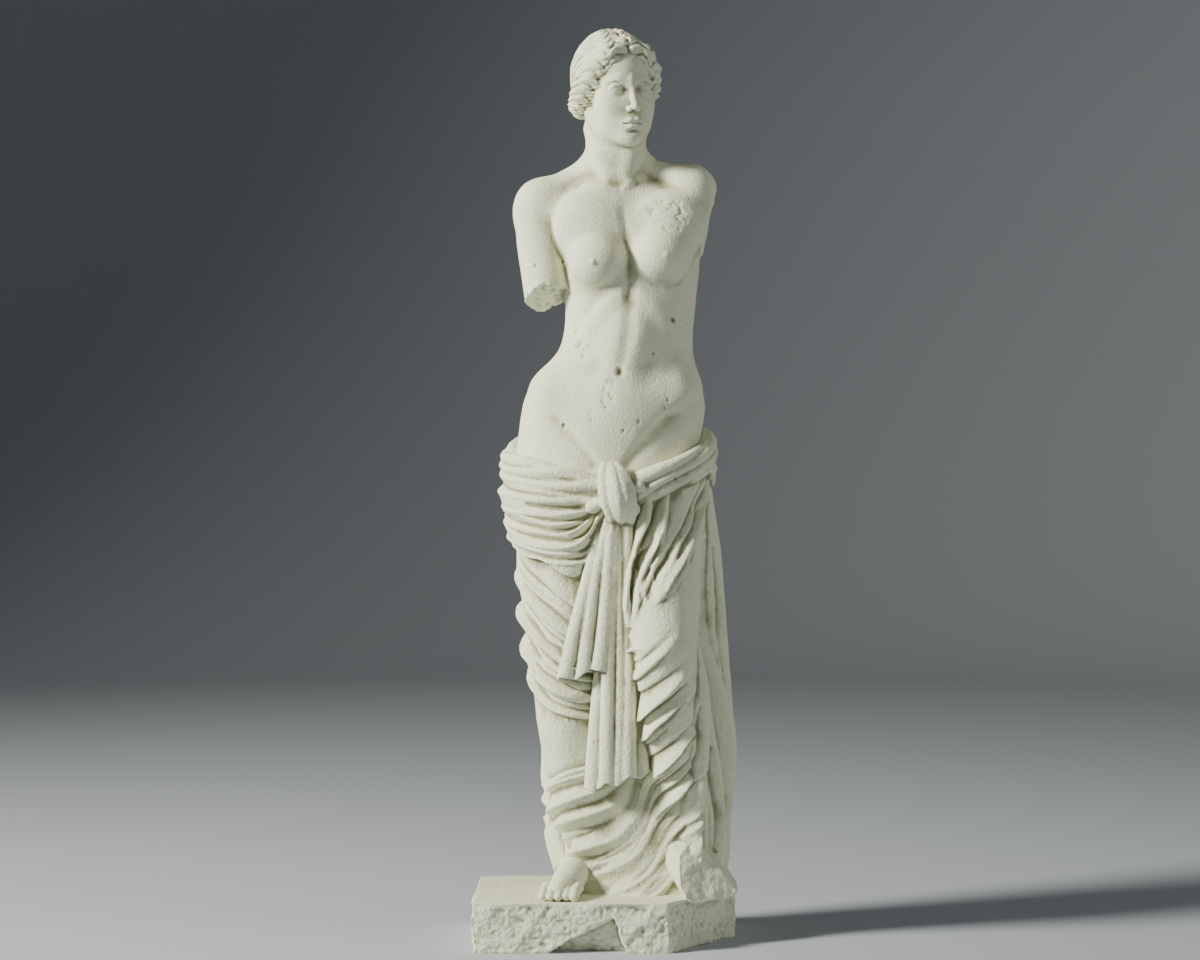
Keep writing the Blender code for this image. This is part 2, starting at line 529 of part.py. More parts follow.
def knot_ends(clay):
    """Each end hangs in pleats, and its hem is cut off in a zigzag."""
    for number, (x_top, x_foot, top, foot, half_top, half_foot, count) in enumerate(KNOT_ENDS):
        end = clay.like()
        for i in range(count):
            share = 2 * i / (count - 1) - 1
            z = np.linspace(top, foot - 12, 10)
            t = (top - z) / (top - foot)
            half = half_top + (half_foot - half_top) * t**0.8
            x = x_top + (x_foot - x_top) * t + share * half + 1.6 * np.sin(5 * t + 2 * i)
            y = curve([(140, -42), (300, -52), (400, -62), (480, -67)], z)[0] + 7 * share**2 + 3 * ((i + number) % 2)
            end.rod(np.column_stack([x, y, z, 5.5 + 4.5 * t]), soft=1.5)
        reach = half_foot + 24
        cut, x, y, z = end.near((x_foot - reach, -100, foot - 40), (x_foot + reach, 0, foot + 40))
        u = (x - x_foot) / half_foot
        hem = foot + 7 * u + 15 * np.abs((u * (count - 1) / 4 + 0.5 * number) % 1 - 0.5)
        end.f[cut] = np.maximum(end.f[cut], hem - z)
        clay.blend(..., end.f, 2)


def skirt(clay):
    cloth_form(clay)
    x, y, z = clay.everywhere()
    cx, cy = (v.reshape(z.shape) for v in curve(CORE, z))
    angle, radius = np.degrees(np.arctan2(x - cx, cy - y)), np.hypot(x - cx, y - cy)
    raised = relief(skirt_folds(), angle, z, radius) + 5 * np.exp(-np.maximum(z - SLAB_TOP, 0) / 12)
    folded = relief(overhang_folds(), angle, z, radius)
    hem = curve(OVERHANG, angle)[0] + 4 * np.sin(np.radians(angle * 11)) - 1.2 * folded
    over = step_up(z - hem, 3.5)
    raised = raised * (1 - over) + over * (8 + folded)
    under = clay.f + 12
    clay.f -= raised
    lifted = SLAB_TOP + 42 * np.exp(-(((x + 61) / 17) ** 2)) * step_up(8 - y, 16) - 12
    clay.f = np.minimum(np.maximum(clay.f, lifted - z), under)
    clay.f = np.maximum(clay.f, (z - curve(ROLL, angle)[0] - 4) * 0.9)


def roll(clay):
    """The cloth rolled round the hips, in twisted strands."""
    strands = 7
    angles = np.linspace(-186, 186, 63)
    points, out = on_form(angles, curve(ROLL, np.clip(angles, -180, 180))[0], hips_form)
    clay.rod(np.column_stack([points - 3 * out, np.full(angles.size, 9.0)]), soft=3)
    for i in range(strands):
        sway = 20 * np.sin(np.radians(angles * 2 + 50 * i)) + 9 * np.sin(np.radians(angles * 5 + 110 * i))
        turn = np.radians(angles + 360 / strands * i + sway)
        strand = points + out * (-2 + 7 * np.cos(turn))[:, None]
        strand[:, 2] += 13 * np.sin(turn)
        clay.rod(np.column_stack([strand, 6.3 + 1.8 * np.sin(np.radians(angles * 3 + 80 * i))]), soft=1.8)


def knot(clay):
    """The upper end is passed over the roll and tucked under, and its folds slant across the knot."""
    points, out = on_form([5] * 9, np.linspace(519, 455, 9), hips_form)
    t = np.linspace(0, 1, 9)
    swell = np.sin(np.pi * t) ** 0.7
    for i in range(5):
        lean = i - 2
        band = points + out * (2 + (19 - 1.4 * lean**2) * swell)[:, None]
        band[:, 0] += lean * (3.4 + 3.2 * swell) + (i % 2) * 1.5 + 11 * (t - 0.5)
        clay.rod(spread(np.column_stack([band, 3.6 + 2.4 * swell + 0.8 * ((i + 1) % 2)]), 25), soft=1.6)
    for z, x, size in ((478, -15, 6.5), (492, 21, 6.5), (468, 17, 6)):
        side, way = on_form([np.degrees(np.arctan2(x, 60))] * 2, [z, z + 6], hips_form)
        clay.rod([(x - 7, side[0][1] - 7, z - 4, size), (x + 7, side[1][1] - 9, z + 4, size)], soft=3)


# The feet and the slab


def feet(clay):
    """The toes of her right foot show below the hem. Her left foot is lost, and leaves a rough stump."""
    clay.rod([(-40, -4, 74, 19), (-50, -36, 67, 16), (-59, -60, 61, 11)], soft=8)
    for i in range(5):
        great = i == 4
        x, y = -75 + i * 8.4, -68 - 5 * math.sin(i / 4 * 3.0) - 3 * great
        clay.rod([(x + 4, y + 22, 63, 6.5), (x + 1, y + 7, 61, 4.6 + great), (x, y, 57.5, 4.4 + 1.2 * great)], soft=2)
    stump = clay.like()
    stump.rod([(74, 4, 104, 26), (88, -28, 80, 25), (102, -60, 64, 22)], soft=0)
    stump.ball((112, -20, 66), (28, 30, 22), soft=12)
    cut, x, y, z = stump.near((30, -100, 30), (160, 50, 150))
    stump.f[cut] += 2.4 * noise(x, y, z, 21, 9) + 0.8 * noise(x, y, z, 8, 10)
    snap(stump, (96, -38, 76), (0.42, -0.84, 0.34), 1.2, 60)
    snap(stump, (112, -30, 84), (0.75, -0.2, 0.63), 1.2, 40)
    clay.blend(cut, stump.f[cut], 12)


def slab_ends():
    """The slab's left, right, front and back ends, in units."""
    ends = [m + s * w / 2 for m, w in ((PLINTH_MIDDLE_X, PLINTH_WIDTH), (PLINTH_MIDDLE_Y, PLINTH_DEPTH)) for s in (-1, 1)]
    return [v / UNIT for v in ends]


def slab(clay):
    """The rough slab: its front right corner is broken away, and so is a wedge out of the front edge."""
    left, right, front, back = slab_ends()
    corners = [(left, front), (left, back), (right, back), (right, front + PLINTH_CORNER_Y / UNIT),
               (right - PLINTH_CORNER_X / UNIT, front)]
    pad = 12
    cut, x, y, z = clay.near((left - pad, front - pad, SLAB_BOTTOM - 16), (right + pad, back + pad, SLAB_TOP + pad))
    d = np.maximum(z - SLAB_TOP, SLAB_BOTTOM - 8 - z) + 0 * (x + y)
    for (ax, ay), (bx, by) in zip(corners, corners[1:] + corners[:1]):
        length = math.hypot(bx - ax, by - ay)
        d = np.maximum(d, ((y - ay) * (bx - ax) - (x - ax) * (by - ay)) / length)
    x, y, z = np.broadcast_arrays(x, y, z)
    tooled = 3.0 * noise(x, y, z, 26, 5) + 1.6 * noise(x, y, z, 11, 6)
    d = d + tooled * step_up(SLAB_TOP - 3 - z, 8) + 0.6 * noise(x, y, z, 30, 7)
    clay.blend(cut, d, 2.5)
    foot, peak, high = left + 0.28 * PLINTH_WIDTH / UNIT, left + 0.54 * PLINTH_WIDTH / UNIT, 0.72 * PLINTH_THICKNESS / UNIT
    up = z - SLAB_BOTTOM
    wedge = np.maximum(0.89 * up - 0.46 * (x - foot), 0.96 * (x - peak) + 0.28 * (up - high))
    wedge = np.maximum(wedge, 0.95 * (y - front - 15) + 0.31 * up) + 2.2 * noise(x, y, z, 12, 8)
    clay.blend(cut, wedge, 1.0, take_away=True)


def carve(cell):
    """The whole statue in clay, in cells of that many units."""
    left, right, front, back = slab_ends()
    ends_x = (min(left, -130) - 16, max(right, 140) + 16)
    ends_y = (min(front, -96) - 16, max(back, 100) + 16)
    axes = [np.arange(*ends, cell) for ends in (ends_x, ends_y, (SLAB_BOTTOM - 14, 1016))]
    clay = Clay(*axes)
    torso(clay)
    arms(clay)
    neck(clay)
    head(clay)
    locks = clay.like()
    hair(locks)
    clay.blend(..., locks.f, 1.5)
    low = axes[2] < 600
    cloth = Clay(axes[0], axes[1], axes[2][low])
    skirt(cloth)
    roll(cloth)
    knot_ends(cloth)
    knot(cloth)
    feet(cloth)
    clay.blend((slice(None), slice(None), slice(0, int(low.sum()))), cloth.f, 2)
    slab(clay)
    return clay


def skin(clay):
    """The clay's surface as points and quads: one point in each cell that the surface passes through."""
    f = clay.f
    full = f < 0
    count = full.astype(np.int8)
    count = count[:-1] + count[1:]
    count = count[:, :-1] + count[:, 1:]
    count = count[:, :, :-1] + count[:, :, 1:]
    cells = np.flatnonzero((count > 0) & (count < 8))
    place = np.unravel_index(cells, count.shape)
    corners = [(a, b, c) for a in (0, 1) for b in (0, 1) for c in (0, 1)]
    values = {p: f[place[0] + p[0], place[1] + p[1], place[2] + p[2]] for p in corners}
    total, crossings = np.zeros((3, cells.size)), np.zeros(cells.size)
    for p in corners:
        for axis in range(3):
            if p[axis]:
                continue
            q = tuple(1 if g == axis else p[g] for g in range(3))
            hit = (values[p] < 0) != (values[q] < 0)
            t = np.where(hit, values[p] / np.where(hit, values[p] - values[q], 1), 0)
            for g in range(3):
                total[g] += hit * (p[g] + (t if g == axis else 0))
            crossings += hit
    total /= crossings
    points = np.empty((cells.size, 3))
    for g, (line, i) in enumerate(zip(clay.axes, place)):
        points[:, g] = line[i] + total[g] * (line[i + 1] - line[i])
    number = np.full(count.size, -1, np.int32)
    number[cells] = np.arange(cells.size)
    number = number.reshape(count.shape)
    quads = []
    for axis in range(3):
        here, ids = np.moveaxis(full, axis, 0), np.moveaxis(number, axis, 0)
        first, second = here[:-1, 1:-1, 1:-1], here[1:, 1:-1, 1:-1]
        p, q, r = np.nonzero(first != second)
        outward = first[p, q, r] != (axis == 1)
        q, r = q + 1, r + 1
        ring = np.stack([ids[p, q - 1, r - 1], ids[p, q, r - 1], ids[p, q, r], ids[p, q - 1, r]], 1)
        quads.append(np.where(outward[:, None], ring, ring[:, ::-1]))
    return points, np.concatenate(quads)


def mesh_of(name, points, quads):
    mesh = bpy.data.meshes.new(name)
    mesh.vertices.add(len(points))
    mesh.vertices.foreach_set("co", points.astype(np.float32).ravel())
    mesh.loops.add(quads.size)
    mesh.loops.foreach_set("vertex_index", quads.astype(np.int32).ravel())
    mesh.polygons.add(len(quads))
    mesh.polygons.foreach_set("loop_start", np.arange(0, quads.size, 4, dtype=np.int32))
    mesh.update(calc_edges=True)
    return mesh


def plaster():
    """The warm white of the hard, matt plaster."""
    material = bpy.data.materials.new("white plaster")
    material.use_nodes = True
    shader = material.node_tree.nodes["Principled BSDF"]
    shader.inputs["Base Color"].default_value = (0.72, 0.71, 0.63, 1)
    shader.inputs["Roughness"].default_value = 0.82
    shader.inputs["Metallic"].default_value = 0.0
    return material


def cut_flat(obj):
    """Applies the modifiers, then saws the block off level, so that it stands on a true plane."""
    graph = bpy.context.evaluated_depsgraph_get()
    mesh = bpy.data.meshes.new_from_object(obj.evaluated_get(graph))
    obj.modifiers.clear()
    block = bmesh.new()
    block.from_mesh(mesh)
    everything = block.verts[:] + block.edges[:] + block.faces[:]
    cut = bmesh.ops.bisect_plane(block, geom=everything, dist=1e-6, plane_co=(0, 0, 0), plane_no=(0, 0, -1), clear_outer=True)
    rim = [e for e in cut["geom_cut"] if isinstance(e, bmesh.types.BMEdge)]
    bmesh.ops.contextual_create(block, geom=rim)
    bmesh.ops.triangulate(block, faces=block.faces[:])
    bmesh.ops.recalc_face_normals(block, faces=block.faces[:])
    block.to_mesh(mesh)
    block.free()
    obj.data = mesh


def main():
    for old in list(bpy.data.objects):
        bpy.data.objects.remove(old)
    points, quads = skin(carve(GRAIN / UNIT))
    points[:, 2] -= SLAB_BOTTOM
    statue = bpy.data.objects.new("aphrodite_statue", mesh_of("aphrodite_statue", points * UNIT, quads))
    bpy.context.scene.collection.objects.link(statue)
    even = statue.modifiers.new("even out", "REMESH")
    even.mode = "VOXEL"
    even.voxel_size = GRAIN
    fewer = statue.modifiers.new("fewer faces", "DECIMATE")
    fewer.ratio = SOLID_TRIANGLES / (2 * len(quads))
    cut_flat(statue)
    statue.data.shade_smooth()
    statue.data.set_sharp_from_angle(angle=math.radians(40))
    statue.data.materials.append(plaster())


main()
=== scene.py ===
"""A half-draped Aphrodite cast in white plaster: her body, her knotted cloak, her feet and the rough slab."""

import math

import bmesh
import bpy
import numpy as np
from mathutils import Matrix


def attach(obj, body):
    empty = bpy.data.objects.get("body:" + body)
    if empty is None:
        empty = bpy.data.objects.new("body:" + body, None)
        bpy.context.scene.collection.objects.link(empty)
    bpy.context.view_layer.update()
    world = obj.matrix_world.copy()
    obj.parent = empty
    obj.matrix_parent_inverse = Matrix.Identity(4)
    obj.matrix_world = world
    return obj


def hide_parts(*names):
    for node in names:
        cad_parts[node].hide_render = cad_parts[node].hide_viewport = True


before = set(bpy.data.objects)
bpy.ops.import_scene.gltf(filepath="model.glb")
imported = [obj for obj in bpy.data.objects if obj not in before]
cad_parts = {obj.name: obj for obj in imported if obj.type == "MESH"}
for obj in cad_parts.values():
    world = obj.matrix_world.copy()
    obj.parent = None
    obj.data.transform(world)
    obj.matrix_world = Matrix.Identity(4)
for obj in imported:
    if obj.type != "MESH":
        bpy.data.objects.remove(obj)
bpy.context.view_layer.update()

# The camera stands level with her hips and looks straight at her front, as in the photograph.
# It is far enough back that she is seen almost without perspective.

EYE_HEIGHT = 0.379
EYE_DISTANCE = 1.95
EYE_ASIDE = -0.010
VIEW_WIDE = math.radians(28.5)

camera_data = bpy.data.cameras.new("camera")
camera_data.sensor_fit = "HORIZONTAL"
camera_data.angle = VIEW_WIDE
camera = bpy.data.objects.new("camera", camera_data)
camera.location = (EYE_ASIDE, -EYE_DISTANCE, EYE_HEIGHT)
camera.rotation_euler = (math.radians(90), 0, 0)
bpy.context.scene.collection.objects.link(camera)
bpy.context.scene.camera = camera


# Her body is solid cast plaster, in one with all the rest, and hidden below the hips by the cloak.
# It is carved as clay is: masses are laid on with soft joints, then grooves, breaks and wear are cut in.

UNIT = 0.00075  # metres in one unit of the figure, of which she stands 950 high
SLAB_TOP = 52.0
SLAB_BOTTOM = -2.0
FAR = 400.0  # clay this far away counts as none
MARGIN = 16.0  # how far round a shape the clay is worked


def curve(keys, at):
    """A smooth line through rows of (place, value, ...), read at any places."""
    keys = np.asarray(keys, float)
    places, values = keys[:, 0], keys[:, 1:]
    slopes = np.gradient(values, places, axis=0)
    at = np.clip(np.asarray(at, float), places[0], places[-1])
    i = np.clip(np.searchsorted(places, at, side="right") - 1, 0, len(places) - 2)
    span = (places[i + 1] - places[i])[..., None]
    u = (at - places[i])[..., None] / span
    a, b = values[i], values[i + 1]
    rise_a, rise_b = slopes[i] * span, slopes[i + 1] * span
    line = a + u * rise_a + u**2 * (3 * (b - a) - 2 * rise_a - rise_b) + u**3 * (2 * (a - b) + rise_a + rise_b)
    return np.moveaxis(line, -1, 0).astype(np.float32)


def spread(points, count):
    """That many rows along a smooth line through the points, which are taken as evenly spaced."""
    keys = [(k, *p) for k, p in zip(np.linspace(0, 1, len(points)), points)]
    return curve(keys, np.linspace(0, 1, count)).T.astype(float)


def turning(yaw=0, pitch=0, roll=0):
    """A turn about Z, then about the new X, then about the new Y, in degrees."""
    turn = np.eye(3)
    for degrees, i, j in ((yaw, 0, 1), (pitch, 1, 2), (roll, 2, 0)):
        a, about = math.radians(degrees), np.eye(3)
        about[i, i] = about[j, j] = math.cos(a)
        about[j, i], about[i, j] = math.sin(a), -math.sin(a)
        turn = turn @ about
    return turn


class Place:
    """An origin and a turn that shapes are set in."""

    def __init__(self, origin=(0, 0, 0), turn=np.eye(3)):
        self.origin, self.turn = np.asarray(origin, float), turn

    def out(self, points):
        return self.origin + np.asarray(points, float) @ self.turn.T

    def inward(self, x, y, z):
        """World coordinates as this place's own."""
        x, y, z = x - self.origin[0], y - self.origin[1], z - self.origin[2]
        return [x * self.turn[0, k] + y * self.turn[1, k] + z * self.turn[2, k] for k in range(3)]


WORLD = Place()
HEAD = Place((3, -2, 930), turning(22, 5, -4))


def along(x, y, z, a, b):
    """How far along from a to b the nearest point of that line is, as a share, and the distance to it."""
    run = b - a
    t = ((x - a[0]) * run[0] + (y - a[1]) * run[1] + (z - a[2]) * run[2]) / max(run @ run, 1e-6)
    t = np.clip(t, 0, 1)
    d = np.sqrt((x - a[0] - t * run[0]) ** 2 + (y - a[1] - t * run[1]) ** 2 + (z - a[2] - t * run[2]) ** 2)
    return t, d


def step_up(v, width):
    """0 to 1 as v passes 0, over that width."""
    t = np.clip(v / width + 0.5, 0, 1)
    return t * t * (3 - 2 * t)


class Clay:
    """Distances from a surface, held on a grid or at loose points, and negative inside."""

    def __init__(self, x, y, z, grid=True):
        self.axes = [np.asarray(v, np.float32) for v in (x, y, z)]
        self.grid = grid
        shape = tuple(v.size for v in self.axes) if grid else self.axes[0].shape
        self.f = np.full(shape, FAR, np.float32)
        self.scratch = np.full(shape, FAR, np.float32)
        self.place = WORLD

    def like(self):
        """Empty clay on the same places."""
        return Clay(*self.axes, grid=self.grid)

    def everywhere(self):
        return np.ix_(*self.axes)

    def near(self, low, high):
        """The part of the clay between two corners, and its coordinates."""
        if self.grid:
            cut = tuple(slice(*np.searchsorted(v, (a, b))) for v, a, b in zip(self.axes, low, high))
            return cut, *np.ix_(*(v[c] for v, c in zip(self.axes, cut)))
        keep = np.ones(self.f.shape, bool)
        for v, a, b in zip(self.axes, low, high):
            keep &= (v > a) & (v < b)
        cut = np.nonzero(keep)[0]
        return cut, *(v[cut] for v in self.axes)

    def blend(self, cut, d, soft, take_away=False):
        """Joins a shape on, or takes it away, with a fillet of about soft."""
        f = -self.f[cut] if take_away else self.f[cut]
        joined = np.minimum(f, d)
        if soft > 0:
            joined = joined - np.maximum(soft - np.abs(f - d), 0) ** 2 * (0.25 / soft)
        self.f[cut] = -joined if take_away else joined

    def ball(self, centre, radii, turn=np.eye(3), soft=8.0, take_away=False):
        """An ellipsoid."""
        a, b, c = radii
        own = Place(self.place.out(centre), self.place.turn @ turn)
        reach = max(radii) + soft + MARGIN
        cut, x, y, z = self.near(own.origin - reach, own.origin + reach)
        u, v, w = own.inward(x, y, z)
        k0 = np.sqrt((u / a) ** 2 + (v / b) ** 2 + (w / c) ** 2)
        k1 = np.sqrt((u / a**2) ** 2 + (v / b**2) ** 2 + (w / c**2) ** 2)
        self.blend(cut, k0 * (k0 - 1) / np.maximum(k1, 1e-6), soft, take_away)

    def rod(self, path, soft=8.0, take_away=False):
        """A rounded rod through (x, y, z, radius) points."""
        path = np.asarray(path, float)
        p, r = self.place.out(path[:, :3]), path[:, 3]
        reach = soft + MARGIN
        cut, *_ = self.near((p - r[:, None]).min(0) - reach, (p + r[:, None]).max(0) + reach)
        self.scratch[cut] = FAR
        for a, b, ra, rb in zip(p[:-1], p[1:], r[:-1], r[1:]):
            pad = max(ra, rb) + reach
            part, x, y, z = self.near(np.minimum(a, b) - pad, np.maximum(a, b) + pad)
            t, d = along(x, y, z, a, b)
            self.scratch[part] = np.minimum(self.scratch[part], d - ra - t * (rb - ra))
        self.blend(cut, self.scratch[cut], soft, take_away)

    def loft(self, keys, soft=8.0, square=2.0, low=None):
        """Ovals stacked up: (height, middle x, middle y, half width, depth in front, depth behind)."""
        keys = np.asarray(keys, float)
        low = keys[0, 0] if low is None else low
        high = keys[-1, 0]
        pad = soft + 2 * MARGIN
        middle, widest = keys[:, 1], keys[:, 3].max()
        cut, x, y, z = self.near((middle.min() - widest - pad, (keys[:, 2] - keys[:, 4]).min() - pad, low - pad),
                                 (middle.max() + widest + pad, (keys[:, 2] + keys[:, 5]).max() + pad, high + pad))
        cx, cy, half, front, back = (v.reshape(z.shape) for v in curve(keys, z))
        u, v = x - cx, y - cy
        depth = np.where(v < 0, front, back)
        q = (np.abs(u / half) ** square + np.abs(v / depth) ** square) ** (1 / square)
        d = np.sqrt(u * u + v * v) * (q - 1) / np.maximum(q, 1e-3)
        d = np.maximum(d, -np.minimum(half, depth))
        d = np.maximum(d, np.abs(z - (low + high) / 2) - (high - low) / 2)
        self.blend(cut, d, soft)

    def swell(self, swelling, p, out, w, h, reach=22.0):
        """Notes a swelling along the points p, with outward directions, half widths and heights for each."""
        for i in range(len(p) - 1):
            n = out[i] + out[i + 1]
            n = n / np.linalg.norm(n)
            pad = max(w[i], w[i + 1]) + 1 + reach * np.abs(n)
            part, x, y, z = self.near(np.minimum(p[i], p[i + 1]) - pad, np.maximum(p[i], p[i + 1]) + pad)
            x, y, z = x - p[i][0], y - p[i][1], z - p[i][2]
            run, veer = p[i + 1] - p[i], out[i + 1] - out[i]
            level = run - n * (run @ n)
            t = (x * level[0] + y * level[1] + z * level[2]) / max(level @ level, 1e-6)
            t = np.clip(t, 0, 1)
            x, y, z = x - t * run[0], y - t * run[1], z - t * run[2]
            lift = x * (out[i][0] + t * veer[0]) + y * (out[i][1] + t * veer[1]) + z * (out[i][2] + t * veer[2])
            d = np.sqrt(np.maximum(x * x + y * y + z * z - lift * lift, 0))
            s = np.clip(1 - d / (w[i] + t * (w[i + 1] - w[i])), 0, 1)
            s = s * s * (3 - 2 * s)
            bump = (h[i] + t * (h[i + 1] - h[i])) * s * step_up(0.75 * reach - np.abs(lift), 0.5 * reach)
            swelling[part] = np.maximum(swelling[part], bump)


def noise(x, y, z, size, seed):
    """Smooth noise from -1 to 1, with lumps of about this size."""
    cells = 32
    lattice = np.random.RandomState(seed).rand(cells, cells, cells).astype(np.float32)
    ends = []
    for v in (x, y, z):
        v = v / size + 100
        i = np.floor(v).astype(np.int32)
        t = v - i
        t = t * t * (3 - 2 * t)
        ends.append(((i % cells, 1 - t), ((i + 1) % cells, t)))
    total = 0
    for i, wi in ends[0]:
        for j, wj in ends[1]:
            for k, wk in ends[2]:
                total = total + lattice[i, j, k] * wi * wj * wk
    return total * 2 - 1


def snap(clay, point, normal, rough, within):
    """Breaks off what lies beyond a plane, and leaves the face uneven."""
    point, normal = np.asarray(point, float), np.asarray(normal, float)
    normal = normal / np.linalg.norm(normal)
    cut, x, y, z = clay.near(point - within, point + within)
    d = (x - point[0]) * normal[0] + (y - point[1]) * normal[1] + (z - point[2]) * normal[2]
    d = d + rough * (noise(x, y, z, 11, 3) + 0.5 * noise(x, y, z, 5, 4))
    clay.blend(cut, -d, 1.0, take_away=True)


# The middle line (height, x, y) that angles are counted round: 0 is the front, 90 her left, -90 her right.
CORE = [(0, 38, 6), (100, 37, 6), (300, 14, 2), (500, -2, 2), (700, 8, 2), (900, 6, 2)]


def on_form(angles, heights, make):
    """Where level rays from the middle line leave the form that make builds, and the rays' directions."""
    angles, heights = np.radians(np.asarray(angles, float)), np.asarray(heights, float)
    cx, cy = curve(CORE, heights)
    dx, dy = np.sin(angles), -np.cos(angles)
    step = 3.0
    r = np.arange(16, 172, step)
    clay = Clay((cx[:, None] + dx[:, None] * r).ravel(), (cy[:, None] + dy[:, None] * r).ravel(),
                np.repeat(heights, r.size), grid=False)
    make(clay)
    f = clay.f.reshape(len(angles), r.size)
    last = (r.size - 2) - np.argmax((f[:, :-1] < 0)[:, ::-1], axis=1)
    rows = np.arange(len(angles))
    inner, outer = f[rows, last], f[rows, last + 1]
    radius = r[last] + step * np.clip(inner / (inner - outer + 1e-6), 0, 1)
    points = np.stack([cx + dx * radius, cy + dy * radius, heights], 1)
    return points, np.stack([dx, dy, np.zeros_like(dx)], 1)


def torso_form(clay):
    """Hips, waist, rib cage and shoulders, as masses."""
    clay.loft([
        (440, 0, 4, 92, 58, 68), (490, -3, 4, 99, 60, 72), (530, -5, 4, 101, 60, 70), (565, -2, 4, 97, 56, 62),
        (600, 5, 3, 87, 50, 52), (635, 13, 3, 76, 45, 44), (665, 18, 3, 71, 43, 41), (700, 20, 4, 72, 45, 44),
        (740, 19, 5, 77, 46, 49), (780, 14, 6, 80, 41, 52), (808, 9, 9, 72, 35, 46), (826, 6, 11, 52, 26, 36),
        (840, 4, 12, 24, 14, 20),
    ], soft=6, square=2.2)
    for side, shoulder, blade in ((-1, (-80, 9, 811), 776), (1, (86, 9, 828), 782)):
        middle = (side * 45, 13, 0.5 * (shoulder[2] + 852))
        clay.rod([(4, 17, 856, 20), (*middle, 17), (*shoulder, 19)], soft=18)
        clay.ball((12 + side * 42, 44, blade), (27, 13, 38), turning(side * -10, 0, side * 10), soft=18)
        clay.ball((-4 + side * 42, 40, 522), (46, 40, 48), soft=18)
        clay.ball((2 + side * 66, 2, 590), (28, 42, 34), soft=30)
        clay.rod([(4 + side * 20, 34, 600, 14), (12 + side * 20, 29, 650, 14), (16 + side * 20, 33, 712, 14)], soft=26)
    for side, height, turn in ((-1, 741, -6), (1, 749, 12)):
        x = 19 + side * 36
        clay.ball((x, -34, height), (30.5, 26, 29), turning(turn, 10, 0), soft=10)
        clay.ball((x + side * 10, -20, 784), (36, 20, 34), turning(0, 0, side * 24), soft=22)
    clay.ball((4, -25, 578), (50, 33, 48), soft=26)
    clay.ball((13, -26, 652), (36, 24, 36), soft=24)


def mark(clay, make, lines, raised):
    """Soft swellings or grooves in the flesh, along lines of (angle, height, half width, depth)."""
    swelling = np.zeros_like(clay.f)
    for line in lines:
        angles, heights, widths, depths = spread(line, 12).T
        clay.swell(swelling, *on_form(angles, heights, make), widths, depths)
    clay.f += swelling * (-1 if raised else 1)


def torso(clay):
    """The trunk, with the midline, the rib arch, the collar bones, the groins, the spine and the navel."""
    torso_form(clay)
    mark(clay, torso_form, [
        [(4, 796, 8, 0.8), (14, 745, 9, 2.4), (14, 690, 11, 2.2), (11, 655, 11, 1.8), (5, 630, 9, 1.0)],
        [(-18, 692, 15, 0), (-24, 655, 18, 1.3), (-29, 615, 18, 1.0), (-29, 580, 15, 0)],
        [(45, 692, 15, 0), (40, 655, 18, 1.3), (33, 615, 18, 1.0), (26, 580, 15, 0)],
        [(-100, 606, 13, 0), (-74, 588, 16, 2.8), (-46, 556, 16, 3.2), (-20, 520, 12, 2)],
        [(98, 604, 13, 0), (70, 586, 16, 2.8), (44, 556, 16, 3.2), (18, 520, 12, 2)],
        [(182, 812, 14, 1), (176, 740, 17, 4), (175, 660, 17, 4), (178, 600, 15, 2.5), (180, 560, 10, 4)],
    ], raised=False)
    mark(clay, torso_form, [
        [(14, 722, 13, 0.6), (-12, 700, 16, 2.2), (-42, 668, 17, 1.9), (-72, 652, 14, 0)],
        [(14, 722, 13, 0.6), (36, 700, 16, 2.2), (60, 668, 17, 1.9), (84, 652, 14, 0)],
        [(-9, 820, 6, 2.2), (-35, 822, 7, 2.8), (-62, 824, 8, 1.8)],
        [(11, 823, 6, 2.2), (38, 831, 7, 2.8), (62, 836, 8, 1.8)],
    ], raised=True)
    clay.ball((8, -55, 620), (3.2, 6, 4.2), soft=5, take_away=True)
    for x, y, z in ((-21, -58.5, 738), (58, -57, 745)):
        clay.ball((x, y, z), (2.3, 3.0, 2.3), soft=3.5)


def neck(clay):
    clay.rod([(5, 15, 818, 34), (4, 12, 850, 30.5), (4, 6, 885, 28.5), (3, 8, 912, 30)], soft=22)
    for side in (-1, 1):
        clay.rod([(5 + side * 7, -13, 832, 5), (4 + side * 16, -11, 858, 6), (4 + side * 27, 3, 890, 7)], soft=14)
    clay.ball((5, -28, 829), (6, 4, 5), soft=10, take_away=True)


def arms(clay):
    """Her right arm is broken off above the elbow, and her left one at the shoulder."""
    clay.ball((-82, 7, 800), (27, 27, 34), turning(0, 0, 12), soft=16)
    stump = clay.like()
    stump.rod(spread([(-82, 7, 806, 22), (-80, 4, 772, 25.5), (-74, -2, 728, 25.5), (-68, -8, 670, 23)], 14), soft=0)
    snap(stump, (-72, -6, 704), (0.22, -0.45, -0.87), 1.6, 60)
    cut, *_ = clay.near((-130, -50, 640), (-30, 50, 850))
    clay.blend(cut, stump.f[cut], 5)
    shoulder = clay.like()
    shoulder.ball((90, 7, 817), (27, 28, 33), turning(0, 0, -8), soft=0)
    shoulder.rod([(90, 7, 812, 25), (118, 0, 770, 22)], soft=4)
    snap(shoulder, (108, 4, 800), (0.96, -0.12, -0.22), 1.8, 60)
    cut, *_ = clay.near((40, -50, 740), (150, 60, 880))
    clay.blend(cut, shoulder.f[cut], 14)


def both_sides(half):
    """A path from her right side to the middle, carried on as its mirror image to her left side."""
    return half + [(-x, *rest) for x, *rest in reversed(half) if x]


